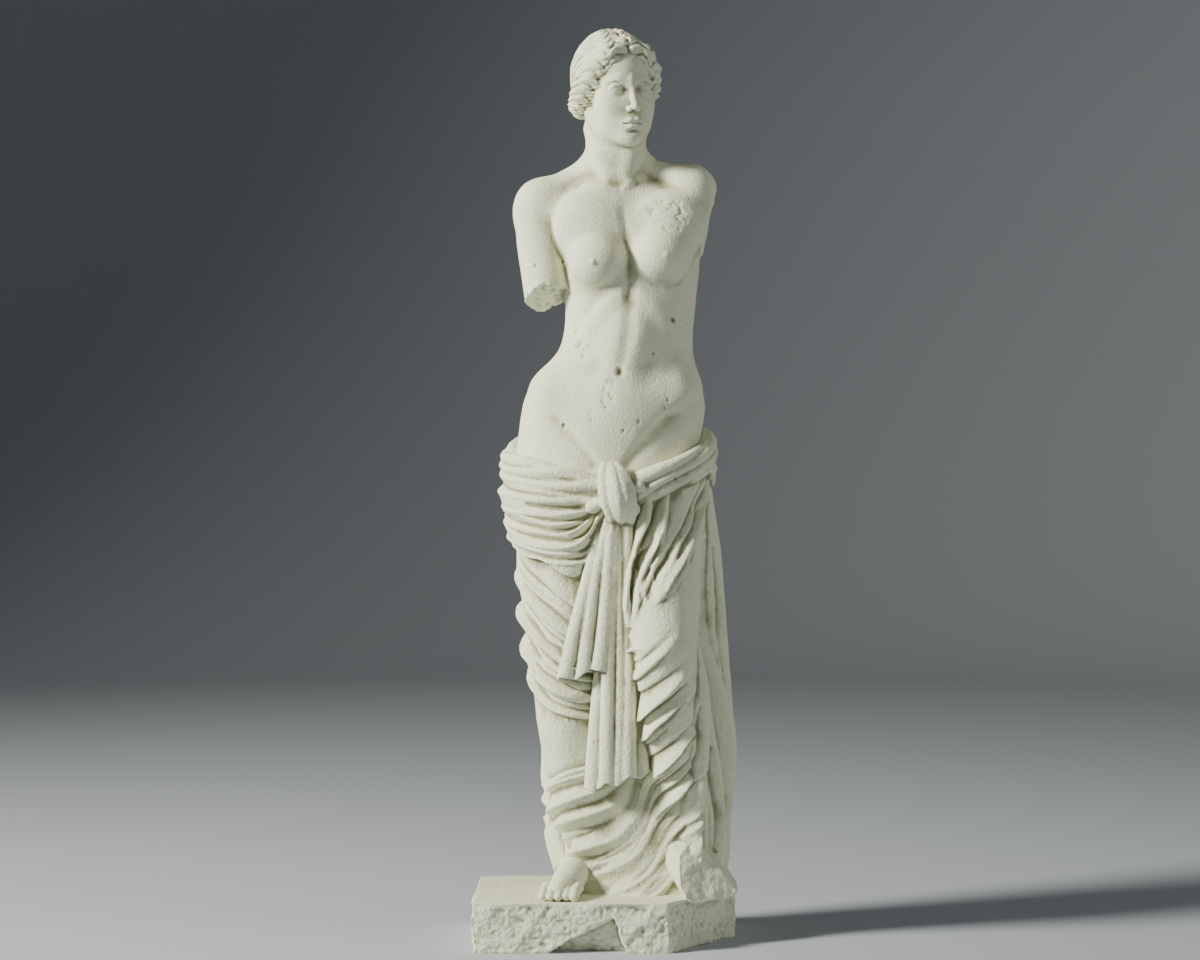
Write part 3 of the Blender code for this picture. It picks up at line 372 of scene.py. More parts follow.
def head(clay):
    clay.place = HEAD
    clay.ball((0, 6, 14), (37, 50, 44), soft=6)
    clay.ball((0, -18, -8), (31, 32, 44), soft=10)
    clay.ball((0, -16, 24), (32, 32, 26), soft=8)
    clay.ball((0, -20, -36), (20, 25, 17), soft=12)
    clay.rod(both_sides([(-26, 0, -22, 9), (-19, -22, -40, 8.5), (-7, -37, -49, 8.5)]), soft=12)
    clay.ball((0, -42.5, -51), (9.5, 9, 9), soft=8)
    clay.ball((0, -39, -37), (15, 11, 12), soft=8)
    nose(clay)
    lips(clay)
    for side in (-1, 1):
        clay.ball((side * 20, -29, -12), (12, 12, 13), soft=10)
        clay.ball((side * 16, -28, -26), (13, 14, 17), soft=12)
        eye(clay, side)
    clay.place = WORLD


def nose(clay):
    clay.rod([(0, -45.5, 12, 3.6), (0, -51, -4, 3.2), (0, -56.5, -17, 3.6)], soft=5)
    clay.ball((0, -57.5, -19), (4.0, 4.8, 4.0), soft=3)
    for side in (-1, 1):
        clay.ball((side * 5.0, -52.5, -21), (2.9, 4.4, 3.4), soft=2.5)
        clay.ball((side * 3.0, -55.5, -24.5), (1.5, 2.3, 1.5), soft=1, take_away=True)
    clay.rod([(0, -54.5, -27.5, 0.9), (0, -54.5, -32, 1.3)], soft=2, take_away=True)


def lips(clay):
    """The upper lip, the lower lip, the parting between them and the hollow below."""
    clay.rod(both_sides([(-11, -46.5, -35.6, 1.5), (-4.6, -51, -33.4, 3.1), (0, -51.6, -34.4, 2.8)]), soft=3)
    clay.rod(both_sides([(-8.5, -47.5, -38.4, 1.8), (-3.2, -50.8, -40.8, 3.8)]), soft=3)
    parting = both_sides([(-11.5, -47.5, -36.9, 0.7), (-4, -53, -36.8, 1), (0, -53.6, -37.4, 1)])
    clay.rod(parting, soft=1.2, take_away=True)
    clay.ball((0, -53.5, -45.5), (9, 4, 2.4), soft=4, take_away=True)


def eye(clay, side):
    """The socket, the ball of the eye, both lids, the crease above them and the brow."""
    clay.ball((side * 16, -53, 0), (11, 7.0, 6.5), soft=7, take_away=True)
    clay.rod([(side * 3, -46, 8, 3), (side * 13, -44.5, 11, 3.2), (side * 24, -36, 7, 3)], soft=7)
    cx, cy, cz, radius = side * 15.5, -37.5, -0.5, 9.6
    clay.ball((cx, cy, cz), (radius, radius, radius), soft=1.5)
    for up, size, tall in ((1, 1.2, 6.6), (-1, 1.0, 5.6), (1, 1.5, 4.2), (-1, 1.2, 3.2)):
        lid = []
        for k in np.linspace(-1, 1, 9):
            x, z = 8.0 * k, up * tall * (1 - k * k) ** 0.8
            y = -math.sqrt(max(radius**2 - x * x - z * z, 4))
            lid.append((cx + x, cy + y + 0.1, cz + z + 0.5 * side * k, size * (1 - 0.4 * k * k)))
        clay.rod(lid, soft=2.5 if tall > 5 else 0.5)
    crease = [(cx - side * 4.5, cy - 8.4, cz + 7.4, 0.5), (cx + side * 1, cy - 8.0, cz + 8.8, 0.8),
              (cx + side * 8, cy - 4.6, cz + 6.8, 0.5)]
    clay.rod(crease, soft=2.2, take_away=True)


def combing(clay):
    """The clay about the head, its places in the head, and their angle about the knot and distance from it."""
    cut, *places = clay.near(HEAD.origin - 90, HEAD.origin + 90)
    u, v, w = HEAD.inward(*places)
    return cut, u, v, w, np.arctan2(w + 5, 58 - v), np.hypot(w + 5, 58 - v)


def hair(clay):
    """Waved hair, parted in the middle and drawn back over the ears to a knot at the nape."""
    clay.place = HEAD
    clay.ball((0, 9, 16), (42, 53, 51.5), soft=1)
    for side in (-1, 1):
        clay.rod([(side * x, y, z, r) for x, y, z, r in (
            (2, -32, 46, 9), (20, -33, 38, 11), (33, -20, 20, 12), (38, -4, 2, 12.5),
            (36, 14, -12, 12), (24, 36, -14, 12), (6, 50, -8, 12))], soft=8)
    clay.ball((0, 61, -3), (20, 15, 17), soft=5)
    cut, u, v, w, angle, from_knot = combing(clay)
    aside = np.abs(u)
    wave = 0.05 * np.sin(aside / 4.4 + 5 * angle) + 0.015 * np.sin(aside / 2.3 + 9 * angle)
    angle = angle + wave * np.clip(aside / 12, 0.2, 1) * (0.35 + 0.65 * step_up(24 - v, 40))
    lock = np.sqrt(np.abs(np.sin(26 * angle)))
    fine = np.abs(np.sin(70 * angle + 0.8 * np.sin(aside / 5)))
    parting = np.exp(-((aside / 2.2) ** 2)) * step_up(20 - v, 30)
    clear = step_up(from_knot - 12, 16)
    coil = np.sqrt(np.abs(np.sin(3 * np.arctan2(w + 3, u) + 0.16 * np.hypot(w + 3, u))))
    at_knot = step_up(19 - np.hypot(u / 1.15, w + 3), 4) * step_up(v - 50, 8)
    strands = (3.1 * (lock - 0.6) + 0.8 * (fine - 0.5)) * clear - 3.5 * parting
    clay.f[cut] -= strands * (1 - at_knot) + 2.6 * (coil - 0.6) * at_knot


def comb(clay):
    """Deeper and finer strands of hair, drawn back from the face to the knot, with a slow wave."""
    cut, u, _, _, angle, from_knot = combing(clay)
    angle = angle + 0.03 * np.sin(np.abs(u) / 5 + 6 * angle) + 0.02 * np.sin(from_knot / 6)
    strands = 1.8 * np.sqrt(np.abs(np.sin(26 * angle))) + 1.1 * np.abs(np.sin(52 * angle + 0.7)) - 1.7
    clay.f[cut] -= strands * step_up(from_knot - 20, 30)


def front_of(clay, x, z):
    """Where a line from the front meets the clay at this place."""
    i, k = (int(np.searchsorted(v, a)) for v, a in zip((clay.axes[0], clay.axes[2]), (x, z)))
    return np.array([x, clay.axes[1][np.argmax(clay.f[i, :, k] < 0)], z])


def erode(clay, x, z, wide, tall, depth, seed):
    """A patch where the skin of the cast is flaked away in short scratches, with a ragged edge."""
    middle = front_of(clay, x, z)
    reach = 1.6 * max(wide, tall)
    cut, px, py, pz = clay.near(middle - reach, middle + reach)
    edge = 1 - np.hypot((px - x) / wide, (pz - z) / tall)
    edge = edge + 0.8 * noise(px, py, pz, 9, seed) + 0.4 * noise(px, py, pz, 3.5, seed + 2)
    dents = 1 - 2.2 * np.abs(noise(px + 0.45 * pz, py, 0.5 * pz, 3.1, seed + 1))
    scratched = np.clip(dents, 0, 1) * np.clip(0.6 + 1.6 * noise(px, py, pz, 6, seed + 3), 0.1, 1)
    near_skin = step_up(reach - np.abs(py - middle[1]), reach)
    clay.f[cut] += depth * step_up(edge - 0.1, 0.5) * near_skin * (0.12 + 0.88 * scratched)


def wear(clay):
    """The worn patches, the rough break of the arm and the blow-holes, where the photograph shows them."""
    for patch in ((56, 800, 15, 9, 1.8, 41), (76, 793, 13, 13, 1.6, 42), (64, 778, 7, 6, 1.3, 45),
                  (-32, 652, 9, 14, 1.9, 43), (-6, 598, 8, 16, 1.9, 44), (-22, 574, 6, 7, 1.4, 46)):
        erode(clay, *patch)
    cut, x, y, z = clay.near((-110, -50, 680), (-40, 40, 722))
    below = 0.22 * (x + 72) - 0.45 * (y + 6) - 0.87 * (z - 704)
    rough = 1.5 * noise(x, y, z, 5.5, 51) + 0.9 * noise(x, y, z, 3, 52)
    clay.f[cut] += rough * step_up(below + 4, 3) * step_up(-57 - x, 3)
    for x, z, r in ((-53, 562, 2.6), (66, 677, 2.7), (-84, 737, 2.0), (-54, 742, 1.8), (60, 590, 1.4), (56, 581, 1.2),
                    (-70, 600, 1.3), (28, 712, 1.2), (44, 640, 1.4), (-96, 770, 1.3), (28, 566, 1.5), (12, 556, 1.6)):
        middle = front_of(clay, x, z) - (0, 0.5 * r, 0)
        radii, turn = (r * 0.9, 1.15 * r, 1.3 * r), turning(20 * np.sin(x), 0, 30 * np.sin(z))
        clay.ball(middle, radii, turn, soft=1.2, take_away=True)


def skin(clay):
    """The clay's surface as points and quads: one point in each cell that the surface passes through."""
    f = clay.f
    full = f < 0
    count = full.astype(np.int8)
    count = count[:-1] + count[1:]
    count = count[:, :-1] + count[:, 1:]
    count = count[:, :, :-1] + count[:, :, 1:]
    cells = np.flatnonzero((count > 0) & (count < 8))
    place = np.unravel_index(cells, count.shape)
    corners = [(a, b, c) for a in (0, 1) for b in (0, 1) for c in (0, 1)]
    values = {p: f[place[0] + p[0], place[1] + p[1], place[2] + p[2]] for p in corners}
    total, crossings = np.zeros((3, cells.size)), np.zeros(cells.size)
    for p in corners:
        for axis in range(3):
            if p[axis]:
                continue
            q = tuple(1 if g == axis else p[g] for g in range(3))
            hit = (values[p] < 0) != (values[q] < 0)
            t = np.where(hit, values[p] / np.where(hit, values[p] - values[q], 1), 0)
            for g in range(3):
                total[g] += hit * (p[g] + (t if g == axis else 0))
            crossings += hit
    total /= crossings
    points = np.empty((cells.size, 3))
    for g, (line, i) in enumerate(zip(clay.axes, place)):
        points[:, g] = line[i] + total[g] * (line[i + 1] - line[i])
    number = np.full(count.size, -1, np.int32)
    number[cells] = np.arange(cells.size)
    number = number.reshape(count.shape)
    quads = []
    for axis in range(3):
        here, ids = np.moveaxis(full, axis, 0), np.moveaxis(number, axis, 0)
        first, second = here[:-1, 1:-1, 1:-1], here[1:, 1:-1, 1:-1]
        p, q, r = np.nonzero(first != second)
        outward = first[p, q, r] != (axis == 1)
        q, r = q + 1, r + 1
        ring = np.stack([ids[p, q - 1, r - 1], ids[p, q, r - 1], ids[p, q, r], ids[p, q - 1, r]], 1)
        quads.append(np.where(outward[:, None], ring, ring[:, ::-1]))
    return points, np.concatenate(quads)


def without_crumbs(points, quads, fewest=600):
    """Only the large shells: crumbs are left where two masses of clay just miss each other."""
    shell = np.arange(len(points))
    changed = True
    while changed:
        lower = shell.copy()
        np.minimum.at(lower, quads.ravel(), np.repeat(shell[quads].min(1), 4))
        lower = lower[lower]
        changed = bool((lower != shell).any())
        shell = lower
    size = np.bincount(shell[quads[:, 0]], minlength=len(points))
    quads = quads[size[shell[quads[:, 0]]] >= fewest]
    used = np.unique(quads)
    return points[used], np.searchsorted(used, quads)


def in_metres(points):
    """Clay places as places in the frame, where the slab's underside is at height 0."""
    return (points - (0, 0, SLAB_BOTTOM)) * UNIT


def lines_of(*stretches):
    """Grid lines over stretches of (from, to, cell)."""
    return np.concatenate([np.arange(a, b, cell) for a, b, cell in stretches])


def give_sockets(tree, inputs, outputs):
    """Gives a tree its inputs and outputs, as name: kind, and returns the keys that its inputs are set by."""
    keys = {}
    for way, ends in (("OUTPUT", outputs), ("INPUT", inputs)):
        for name, kind in ends.items():
            keys[name] = tree.interface.new_socket(name, in_out=way, socket_type="NodeSocket" + kind).identifier
    return keys


def node_in(tree, kind, links=(), **values):
    """Adds a node, with its settings, plain inputs by name and links from (output, input), and gives its outputs."""
    node = tree.nodes.new(kind)
    inputs = values.pop("inputs", {})
    for key, value in values.items():
        setattr(node, key, value)
    for key, value in inputs.items():
        node.inputs[key].default_value = value
    for output, key in links:
        tree.links.new(output, node.inputs[key])
    return node.outputs


def maths(operation, *values):
    """The result of a Math node on two values, which are outputs of one tree's nodes or plain numbers."""
    plain = {i: value for i, value in enumerate(values) if isinstance(value, (int, float))}
    links = [(value, i) for i, value in enumerate(values) if i not in plain]
    return node_in(links[0][0].id_data, "ShaderNodeMath", links, operation=operation, inputs=plain)[0]


# The casting skin: a fine grain raised all over, and small blow-holes left by air in the wet plaster.
skin_tree = bpy.data.node_groups.new("casting skin", "GeometryNodeTree")
skin_keys = give_sockets(skin_tree, {
    "geometry": "Geometry", "material": "Material", "seed": "Int", "grain size": "Float", "grain height": "Float",
    "swell size": "Float", "swell height": "Float", "holes per square metre": "Float", "hole radius": "Float",
    "hole depth": "Float",
}, {"finished": "Geometry"})
given = node_in(skin_tree, "NodeGroupInput")
place = node_in(skin_tree, "GeometryNodeInputPosition")[0]
outward = node_in(skin_tree, "GeometryNodeInputNormal")[0]


def raised_noise(size, height, detail):
    """Noise of this size, from minus to plus half of the height."""
    scale = maths("DIVIDE", 1.0, size)
    field = node_in(skin_tree, "ShaderNodeTexNoise", [(place, "Vector"), (scale, "Scale")], inputs={"Detail": detail})
    return maths("MULTIPLY", maths("SUBTRACT", field["Fac"], 0.5), height)


grain = raised_noise(given["grain size"], given["grain height"], 2.0)
swell = raised_noise(given["swell size"], given["swell height"], 3.0)
holes = node_in(
    skin_tree, "GeometryNodeDistributePointsOnFaces",
    [(given["geometry"], "Mesh"), (given["holes per square metre"], "Density"), (given["seed"], "Seed")],
)["Points"]
hole_size = node_in(skin_tree, "FunctionNodeRandomValue", [(given["seed"], "Seed")], data_type="FLOAT")[1]
nearest = node_in(skin_tree, "GeometryNodeSampleNearest", [(holes, "Geometry")], domain="POINT")[0]
share = node_in(
    skin_tree, "GeometryNodeSampleIndex",
    [(holes, "Geometry"), (hole_size, "Value"), (nearest, "Index")], data_type="FLOAT", domain="POINT",
)[0]
share = maths("ADD", 0.25, maths("MULTIPLY", share, maths("MULTIPLY", share, 0.75)))
away = node_in(skin_tree, "GeometryNodeProximity", [(holes, "Geometry")], target_element="POINTS")["Distance"]
hollow_depth = node_in(
    skin_tree, "ShaderNodeMapRange",
    [(away, "Value"), (maths("MULTIPLY", given["hole radius"], share), "From Max"),
     (maths("MULTIPLY", given["hole depth"], share), "To Min")],
    interpolation_type="SMOOTHSTEP", inputs={"From Min": 0.0, "To Max": 0.0},
)[0]
lift = maths("SUBTRACT", maths("ADD", grain, swell), hollow_depth)
offset = node_in(skin_tree, "ShaderNodeVectorMath", [(outward, 0), (lift, "Scale")], operation="SCALE")[0]
moved = node_in(skin_tree, "GeometryNodeSetPosition", [(given["geometry"], "Geometry"), (offset, "Offset")])[0]
real = node_in(skin_tree, "GeometryNodeRealizeInstances", [(moved, "Geometry")])[0]
painted = node_in(skin_tree, "GeometryNodeSetMaterial", [(real, "Geometry"), (given["material"], "Material")])
node_in(skin_tree, "NodeGroupOutput", [(painted[0], "finished")])


# The plaster's colour and grain, shared by its finishes: warm white with random stains, and painted shade in the
# hollows and creases, greyer and yellower.
cast_look = bpy.data.node_groups.new("cast plaster", "ShaderNodeTree")
give_sockets(cast_look, {"White": "Color", "Stain And Shade Tint": "Color", "Stain": "Float", "Grain Scale": "Float"},
             {"Color": "Color", "Roughness": "Float", "Height": "Float"})
look = node_in(cast_look, "NodeGroupInput")
spot = node_in(cast_look, "ShaderNodeTexCoord")["Object"]
fine_grain = node_in(
    cast_look, "ShaderNodeTexNoise", [(spot, "Vector"), (look["Grain Scale"], "Scale")],
    inputs={"Detail": 4.0, "Roughness": 0.65},
)["Fac"]
sand_scale = maths("MULTIPLY", look["Grain Scale"], 0.8)
sand = node_in(cast_look, "ShaderNodeTexVoronoi", [(spot, "Vector"), (sand_scale, "Scale")])["Distance"]
clouds = node_in(
    cast_look, "ShaderNodeTexNoise", [(spot, "Vector")], inputs={"Scale": 26.0, "Detail": 5.0, "Roughness": 0.6}
)["Fac"]
# How deep each point lies in a hollow, which sets where shade is painted.
hollow = node_in(cast_look, "ShaderNodeAttribute", attribute_name="hollow")["Fac"]


def ranged(value, low, high, to_low=0.0, to_high=1.0):
    """A value of the plaster's look, carried over from one range to another."""
    ends = {"From Min": low, "From Max": high, "To Min": to_low, "To Max": to_high}
    return node_in(cast_look, "ShaderNodeMapRange", [(value, "Value")], inputs=ends)[0]


# Painted shade: the colour goes towards the olive tint where the surface lies in a crease or hollow, unevenly by the
# clouds.
painted_crease_shade = ranged(maths("MULTIPLY", hollow, maths("ADD", 0.55, clouds)), 0.02, 0.9)
# Random cloudy stains are added to the painted shade, and together they set how far the colour goes to the tint.
stain_and_painted_shade = maths("ADD", maths("MULTIPLY", ranged(clouds, 0.5, 0.78), look["Stain"]), painted_crease_shade)
stain_and_painted_shade = maths("MINIMUM", stain_and_painted_shade, 1.0)
tints = [(stain_and_painted_shade, 0), (look["White"], 6), (look["Stain And Shade Tint"], 7)]
tone = node_in(cast_look, "ShaderNodeMix", tints, data_type="RGBA")[2]
speck = ranged(fine_grain, 0.3, 0.7, 0.93, 1.04)
tone = node_in(cast_look, "ShaderNodeVectorMath", [(tone, 0), (speck, "Scale")], operation="SCALE")[0]
dull = ranged(fine_grain, 0.0, 1.0, 0.72, 0.95)
height = maths("ADD", fine_grain, maths("MULTIPLY", sand, 0.6))
node_in(cast_look, "NodeGroupOutput", [(tone, "Color"), (dull, "Roughness"), (height, "Height")])


def cast_material(name, white, tint, stain, grain_size, grain_depth):
    """One finish of the plaster, with its tint for stains and for painted shade in the hollows: sizes are in metres.
    """
    material = bpy.data.materials.new(name)
    material.use_nodes = True
    tree = material.node_tree
    shader = tree.nodes["Principled BSDF"]
    shader.inputs["Specular IOR Level"].default_value = 0.3
    values = {"White": white, "Stain And Shade Tint": tint, "Stain": stain, "Grain Scale": 1 / grain_size}
    surface = node_in(tree, "ShaderNodeGroup", node_tree=cast_look, inputs=values)
    bump = node_in(tree, "ShaderNodeBump", [(surface["Height"], "Height")],
                   inputs={"Strength": 1.0, "Distance": grain_depth})
    for output, key in ((surface["Color"], "Base Color"), (surface["Roughness"], "Roughness"),
                        (bump["Normal"], "Normal")):
        tree.links.new(output, shader.inputs[key])
    return material


def plain_mesh(obj):
    """The object's mesh with its modifiers worked in, and the modifiers removed."""
    graph = bpy.context.evaluated_depsgraph_get()
    mesh = bpy.data.meshes.new_from_object(obj.evaluated_get(graph))
    obj.modifiers.clear()
    obj.data = mesh
    return mesh


def read(rows, key, wide, kind="f4"):
    """One property of all of a mesh's points or edges, with that many numbers in each row."""
    values = np.empty(len(rows) * wide, kind)
    rows.foreach_get(key, values)
    return values.reshape(-1, wide)


def note_hollows(mesh, rounds=14, full_depth=0.0009):
    """Keeps with each point how deep it lies below its smoothed surroundings, as the hollow attribute."""
    places, outward = read(mesh.vertices, "co", 3), read(mesh.vertices, "normal", 3)
    a, b = read(mesh.edges, "vertices", 2, "i4").T
    count = len(places)
    links = np.bincount(np.append(a, b), minlength=count)
    smooth = places.astype(float)
    for _ in range(rounds):
        total = [np.bincount(a, smooth[b, k], count) + np.bincount(b, smooth[a, k], count) for k in range(3)]
        smooth = np.stack(total, 1) / np.maximum(links, 1)[:, None]
    depth = ((smooth - places) * outward).sum(1) / full_depth
    # The plaster material paints shade in the creases and hollows by this value.
    kept = mesh.attributes.new("hollow", "FLOAT", "POINT")
    kept.data.foreach_set("value", np.clip(depth, 0, 1).astype(np.float32))


FLAT_BELOW = 0.0014  # the underside is cast flat: the skin's grain is taken off it, up to this height


def cast(name, clay, triangles, material, **finish):
    """Turns clay into a finished piece: its surface, the casting skin, the material and the hollow depths that its
    painted shade follows.
    """
    points, quads = without_crumbs(*skin(clay))
    mesh = bpy.data.meshes.new(name)
    mesh.from_pydata(in_metres(points).tolist(), [], quads.tolist(), shade_flat=False)
    piece = bpy.data.objects.new(name, mesh)
    bpy.context.scene.collection.objects.link(piece)
    if 2 * len(quads) > triangles:
        fewer = piece.modifiers.new("fewer faces", "DECIMATE")
        fewer.ratio = triangles / (2 * len(quads))
        plain_mesh(piece)
    coat = piece.modifiers.new("casting skin", "NODES")
    coat.node_group = skin_tree
    for key, value in {"material": material, **finish}.items():
        coat[skin_keys[key.replace("_", " ")]] = value
    mesh = plain_mesh(piece)
    mesh.name = name
    places = read(mesh.vertices, "co", 3)
    places[places[:, 2] < FLAT_BELOW, 2] = 0
    mesh.vertices.foreach_set("co", places.ravel())
    mesh.shade_smooth()
    note_hollows(mesh)
    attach(piece, "root")
    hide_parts("aphrodite_statue")


WHITE = (0.79, 0.815, 0.61, 1)
# The second colour is the olive tint of the stains and of the shade painted in hollows and creases.
body_plaster = cast_material("smooth cast plaster", WHITE, (0.33, 0.33, 0.20, 1), 0.16,
                             grain_size=0.0016, grain_depth=0.0004)
body_clay = Clay(
    lines_of((-128, -62, 1.7), (-62, 62, 1.15), (62, 132, 1.7)),
    lines_of((-78, 60, 1.15), (60, 98, 1.7)),
    lines_of((450, 858, 1.5), (858, 1012, 0.95)),
)
torso(body_clay)
arms(body_clay)
neck(body_clay)
head(body_clay)
locks = body_clay.like()
hair(locks)
comb(locks)
body_clay.blend(..., locks.f, 1.5)
wear(body_clay)
body_clay.f[:, :, 0] = 1.0
cast(
    "body", body_clay, 190000, body_plaster,
    grain_size=0.0022, grain_height=0.00024, swell_size=0.014, swell_height=0.0006,
    holes_per_square_metre=900.0, hole_radius=0.0013, hole_depth=0.0008, seed=11,
)


# Her cloak is rolled and twisted round the hips and knotted low in front, and falls in folds to the slab.
# The folds are raised on the form of her legs, each with its own groove; the roll, knot and ends are laid on.

LEFT_LEG = [(44, 0, 512, 50), (50, -22, 440, 47), (54, -46, 370, 41), (56, -58, 325, 36), (60, -50, 285, 33),
            (67, -30, 220, 31), (78, -8, 150, 26), (88, 4, 90, 22)]
RIGHT_LEG = [(-46, 2, 520, 50), (-46, -4, 430, 47), (-44, -10, 345, 38), (-43, -9, 305, 35), (-45, 2, 240, 34),
             (-42, 10, 180, 29), (-34, 10, 80, 21)]
# The roll's height round the hips, and the hem of the part that hangs over it, by angle.
ROLL = [(-180, 560), (-130, 545), (-90, 520), (-45, 500), (6, 486), (50, 508), (90, 534), (135, 553), (180, 560)]
OVERHANG = [(-180, 452), (-120, 446), (-90, 438), (-62, 416), (-38, 404), (-18, 430), (-2, 470), (10, 505),
            (60, 520), (85, 505), (120, 480), (150, 462), (180, 452)]


def cloth_form(clay):
    """The legs and the cloth that hangs round them, with no folds yet."""
    clay.rod(LEFT_LEG, soft=16)
    clay.rod(RIGHT_LEG, soft=16)
    clay.loft([
        (30, 37, 8, 88, 42, 56), (60, 37, 8, 82, 38, 52), (120, 36, 8, 86, 32, 50), (200, 32, 8, 97, 28, 54),
        (300, 15, 6, 103, 30, 62), (400, 6, 4, 104, 42, 70), (480, -2, 3, 108, 56, 76), (560, -4, 3, 105, 58, 74),
    ], soft=26, low=46)


def hips_form(clay):
    torso_form(clay)
    cloth_form(clay)


CLOTH_RADIUS = 95.0
UNITS_PER_DEGREE = 1.66  # how far a degree takes one round the cloth


def family(first, last, count, width, height, seed, side=1, rise=0.2):
    """Folds spread from one path of (angle, height) points to another, each with a groove along one side."""
    rng = np.random.RandomState(seed)
    t = np.linspace(0, 1, 19)
    first, last = spread(first, t.size), spread(last, t.size)
    folds = []
    for i in range(count):
        share = (i + 0.5 * rng.uniform(-1, 1)) / max(count - 1, 1)
        path = first + (last - first) * share
        path[:, 0] += 1.5 * np.sin(t * rng.uniform(3, 7) + rng.uniform(0, 6))
        ends = np.minimum(t / (rise * rng.uniform(0.5, 1.5)), (1 - t) / rng.uniform(0.08, 0.3))
        fade = np.minimum(1, ends + 0.04)
        big = rng.uniform(0.55, 1.5)
        w = width * big * (0.6 + 0.4 * fade)
        h = np.minimum(height * big * fade**0.8, 0.9 * w)
        folds.append((False, path, w, h))
        beside = path + np.stack([np.degrees(0.85 * w / CLOTH_RADIUS) * side, 0 * t], 1)
        narrow = np.maximum(w * 0.7, 6)
        folds.append((True, beside, narrow, np.minimum(h * 0.8, 0.7 * narrow)))
    return folds


def relief(folds, angle, z, radius):
    """How far these folds rise above the plain cloth: they are drawn on a sheet that is wrapped round it."""
    step, low = 0.5, 30.0
    round_it, up_it = np.arange(-180, 180 + step, step), np.arange(low, 620, 1.0)
    sheets = np.zeros((2, round_it.size, up_it.size), np.float32)
    for sunk, path, w, h in folds:
        for i in range(len(path) - 1):
            (a0, z0), (a1, z1) = path[i], path[i + 1]
            wide = max(w[i], w[i + 1])
            u = ((round_it - a0 + 180) % 360 - 180) * UNITS_PER_DEGREE
            run_u, run_v = (a1 - a0) * UNITS_PER_DEGREE, z1 - z0
            cols = np.nonzero(np.abs(u) < wide + abs(run_u))[0]
            rows = np.arange(*np.searchsorted(up_it, (min(z0, z1) - wide, max(z0, z1) + wide)))
            u, v = u[cols, None], up_it[rows] - z0
            t = np.clip((u * run_u + v * run_v) / max(run_u**2 + run_v**2, 1e-6), 0, 1)
            s = np.clip(1 - np.hypot(u - t * run_u, v - t * run_v) / (w[i] + t * (w[i + 1] - w[i])), 0, 1)
            at = (int(sunk), cols[:, None], rows)
            sheets[at] = np.maximum(sheets[at], (h[i] + t * (h[i + 1] - h[i])) * s * (2 - s))
    sheet = sheets[0] - sheets[1]
    i, k = (angle + 180) / step, np.clip(z - low, 0, up_it.size - 2)
    i0, k0 = np.minimum(i.astype(np.int32), round_it.size - 2), k.astype(np.int32)
    i, k = i - i0, k - k0
    height = (sheet[i0, k0] * (1 - i) + sheet[i0 + 1, k0] * i) * (1 - k)
    height += (sheet[i0, k0 + 1] * (1 - i) + sheet[i0 + 1, k0 + 1] * i) * k
    return height * np.clip((radius - 24) / 44, 0.1, 1)


# Families of folds, as first and last path by (angle, height), number, half width, height, seed, side of the groove
# and share of their length over which they rise. First those of the cloak, from her right hip round by the front to
# the back, and then those of the part that hangs over the roll.
SKIRT_FOLDS = [fold for row in (
    ([(-150, 450), (-140, 300), (-132, 150), (-126, 50)],
     [(-104, 440), (-112, 320), (-108, 190), (-88, 50)], 5, 11, 11, 3),
    ([(-100, 446), (-66, 396), (-30, 352), (14, 344)], [(-112, 310), (-80, 256), (-40, 238), (6, 286)], 6, 9, 10, 8),
    ([(36, 326), (0, 262), (-46, 196), (-110, 140)],
     [(64, 136), (38, 90), (-2, 62), (-50, 46)], 8, 11, 14, 21, -1, 0.5),
    ([(40, 505), (28, 450), (14, 400), (6, 340)], [(92, 512), (66, 455), (44, 415), (26, 380)], 4, 10, 8, 11, -1),
    ([(60, 330), (60, 230), (60, 140), (58, 60)], [(80, 320), (84, 220), (84, 130), (82, 50)], 3, 10, 9, 12),
    ([(78, 500), (86, 380), (94, 240), (92, 50)], [(138, 530), (136, 380), (140, 240), (126, 50)], 5, 14, 14, 13),
    ([(148, 540), (160, 400), (176, 240), (146, 50)],
     [(222, 440), (220, 300), (222, 180), (222, 50)], 8, 12, 12, 17, -1),
) for fold in family(*row)]
OVERHANG_FOLDS = [fold for row in (
    ([(2, 492), (-28, 480), (-66, 484), (-108, 500)],
     [(0, 480), (-26, 430), (-58, 428), (-104, 452)], 5, 10, 8, 24, -1),
    ([(170, 540), (140, 520), (110, 510), (80, 515)],
     [(250, 520), (200, 478), (150, 478), (100, 490)], 4, 12, 6, 29, -1),
) for fold in family(*row)]

# The two ends that fall from the knot: x at top and foot, height at top and foot, half width at each, pleats.
KNOT_ENDS = [(0, -24, 478, 292, 9, 24, 4), (10, 6, 478, 172, 10, 25, 5)]


def knot_ends(clay):
    """Each end hangs in pleats, and its hem is cut off in a zigzag."""
    for number, (x_top, x_foot, top, foot, half_top, half_foot, count) in enumerate(KNOT_ENDS):
        end = clay.like()
        for i in range(count):
            share = 2 * i / (count - 1) - 1
            z = np.linspace(top, foot - 12, 10)
            t = (top - z) / (top - foot)
            half = half_top + (half_foot - half_top) * t**0.8
            x = x_top + (x_foot - x_top) * t + share * half + 1.6 * np.sin(5 * t + 2 * i)
            y = curve([(140, -42), (300, -52), (400, -62), (480, -67)], z)[0] + 7 * share**2 + 3 * ((i + number) % 2)
            end.rod(np.column_stack([x, y, z, 5.5 + 4.5 * t]), soft=1.5)
        reach = half_foot + 24
        cut, x, y, z = end.near((x_foot - reach, -100, foot - 40), (x_foot + reach, 0, foot + 40))
        u = (x - x_foot) / half_foot
        hem = foot + 7 * u + 15 * np.abs((u * (count - 1) / 4 + 0.5 * number) % 1 - 0.5)
        end.f[cut] = np.maximum(end.f[cut], hem - z)
        clay.blend(..., end.f, 2)


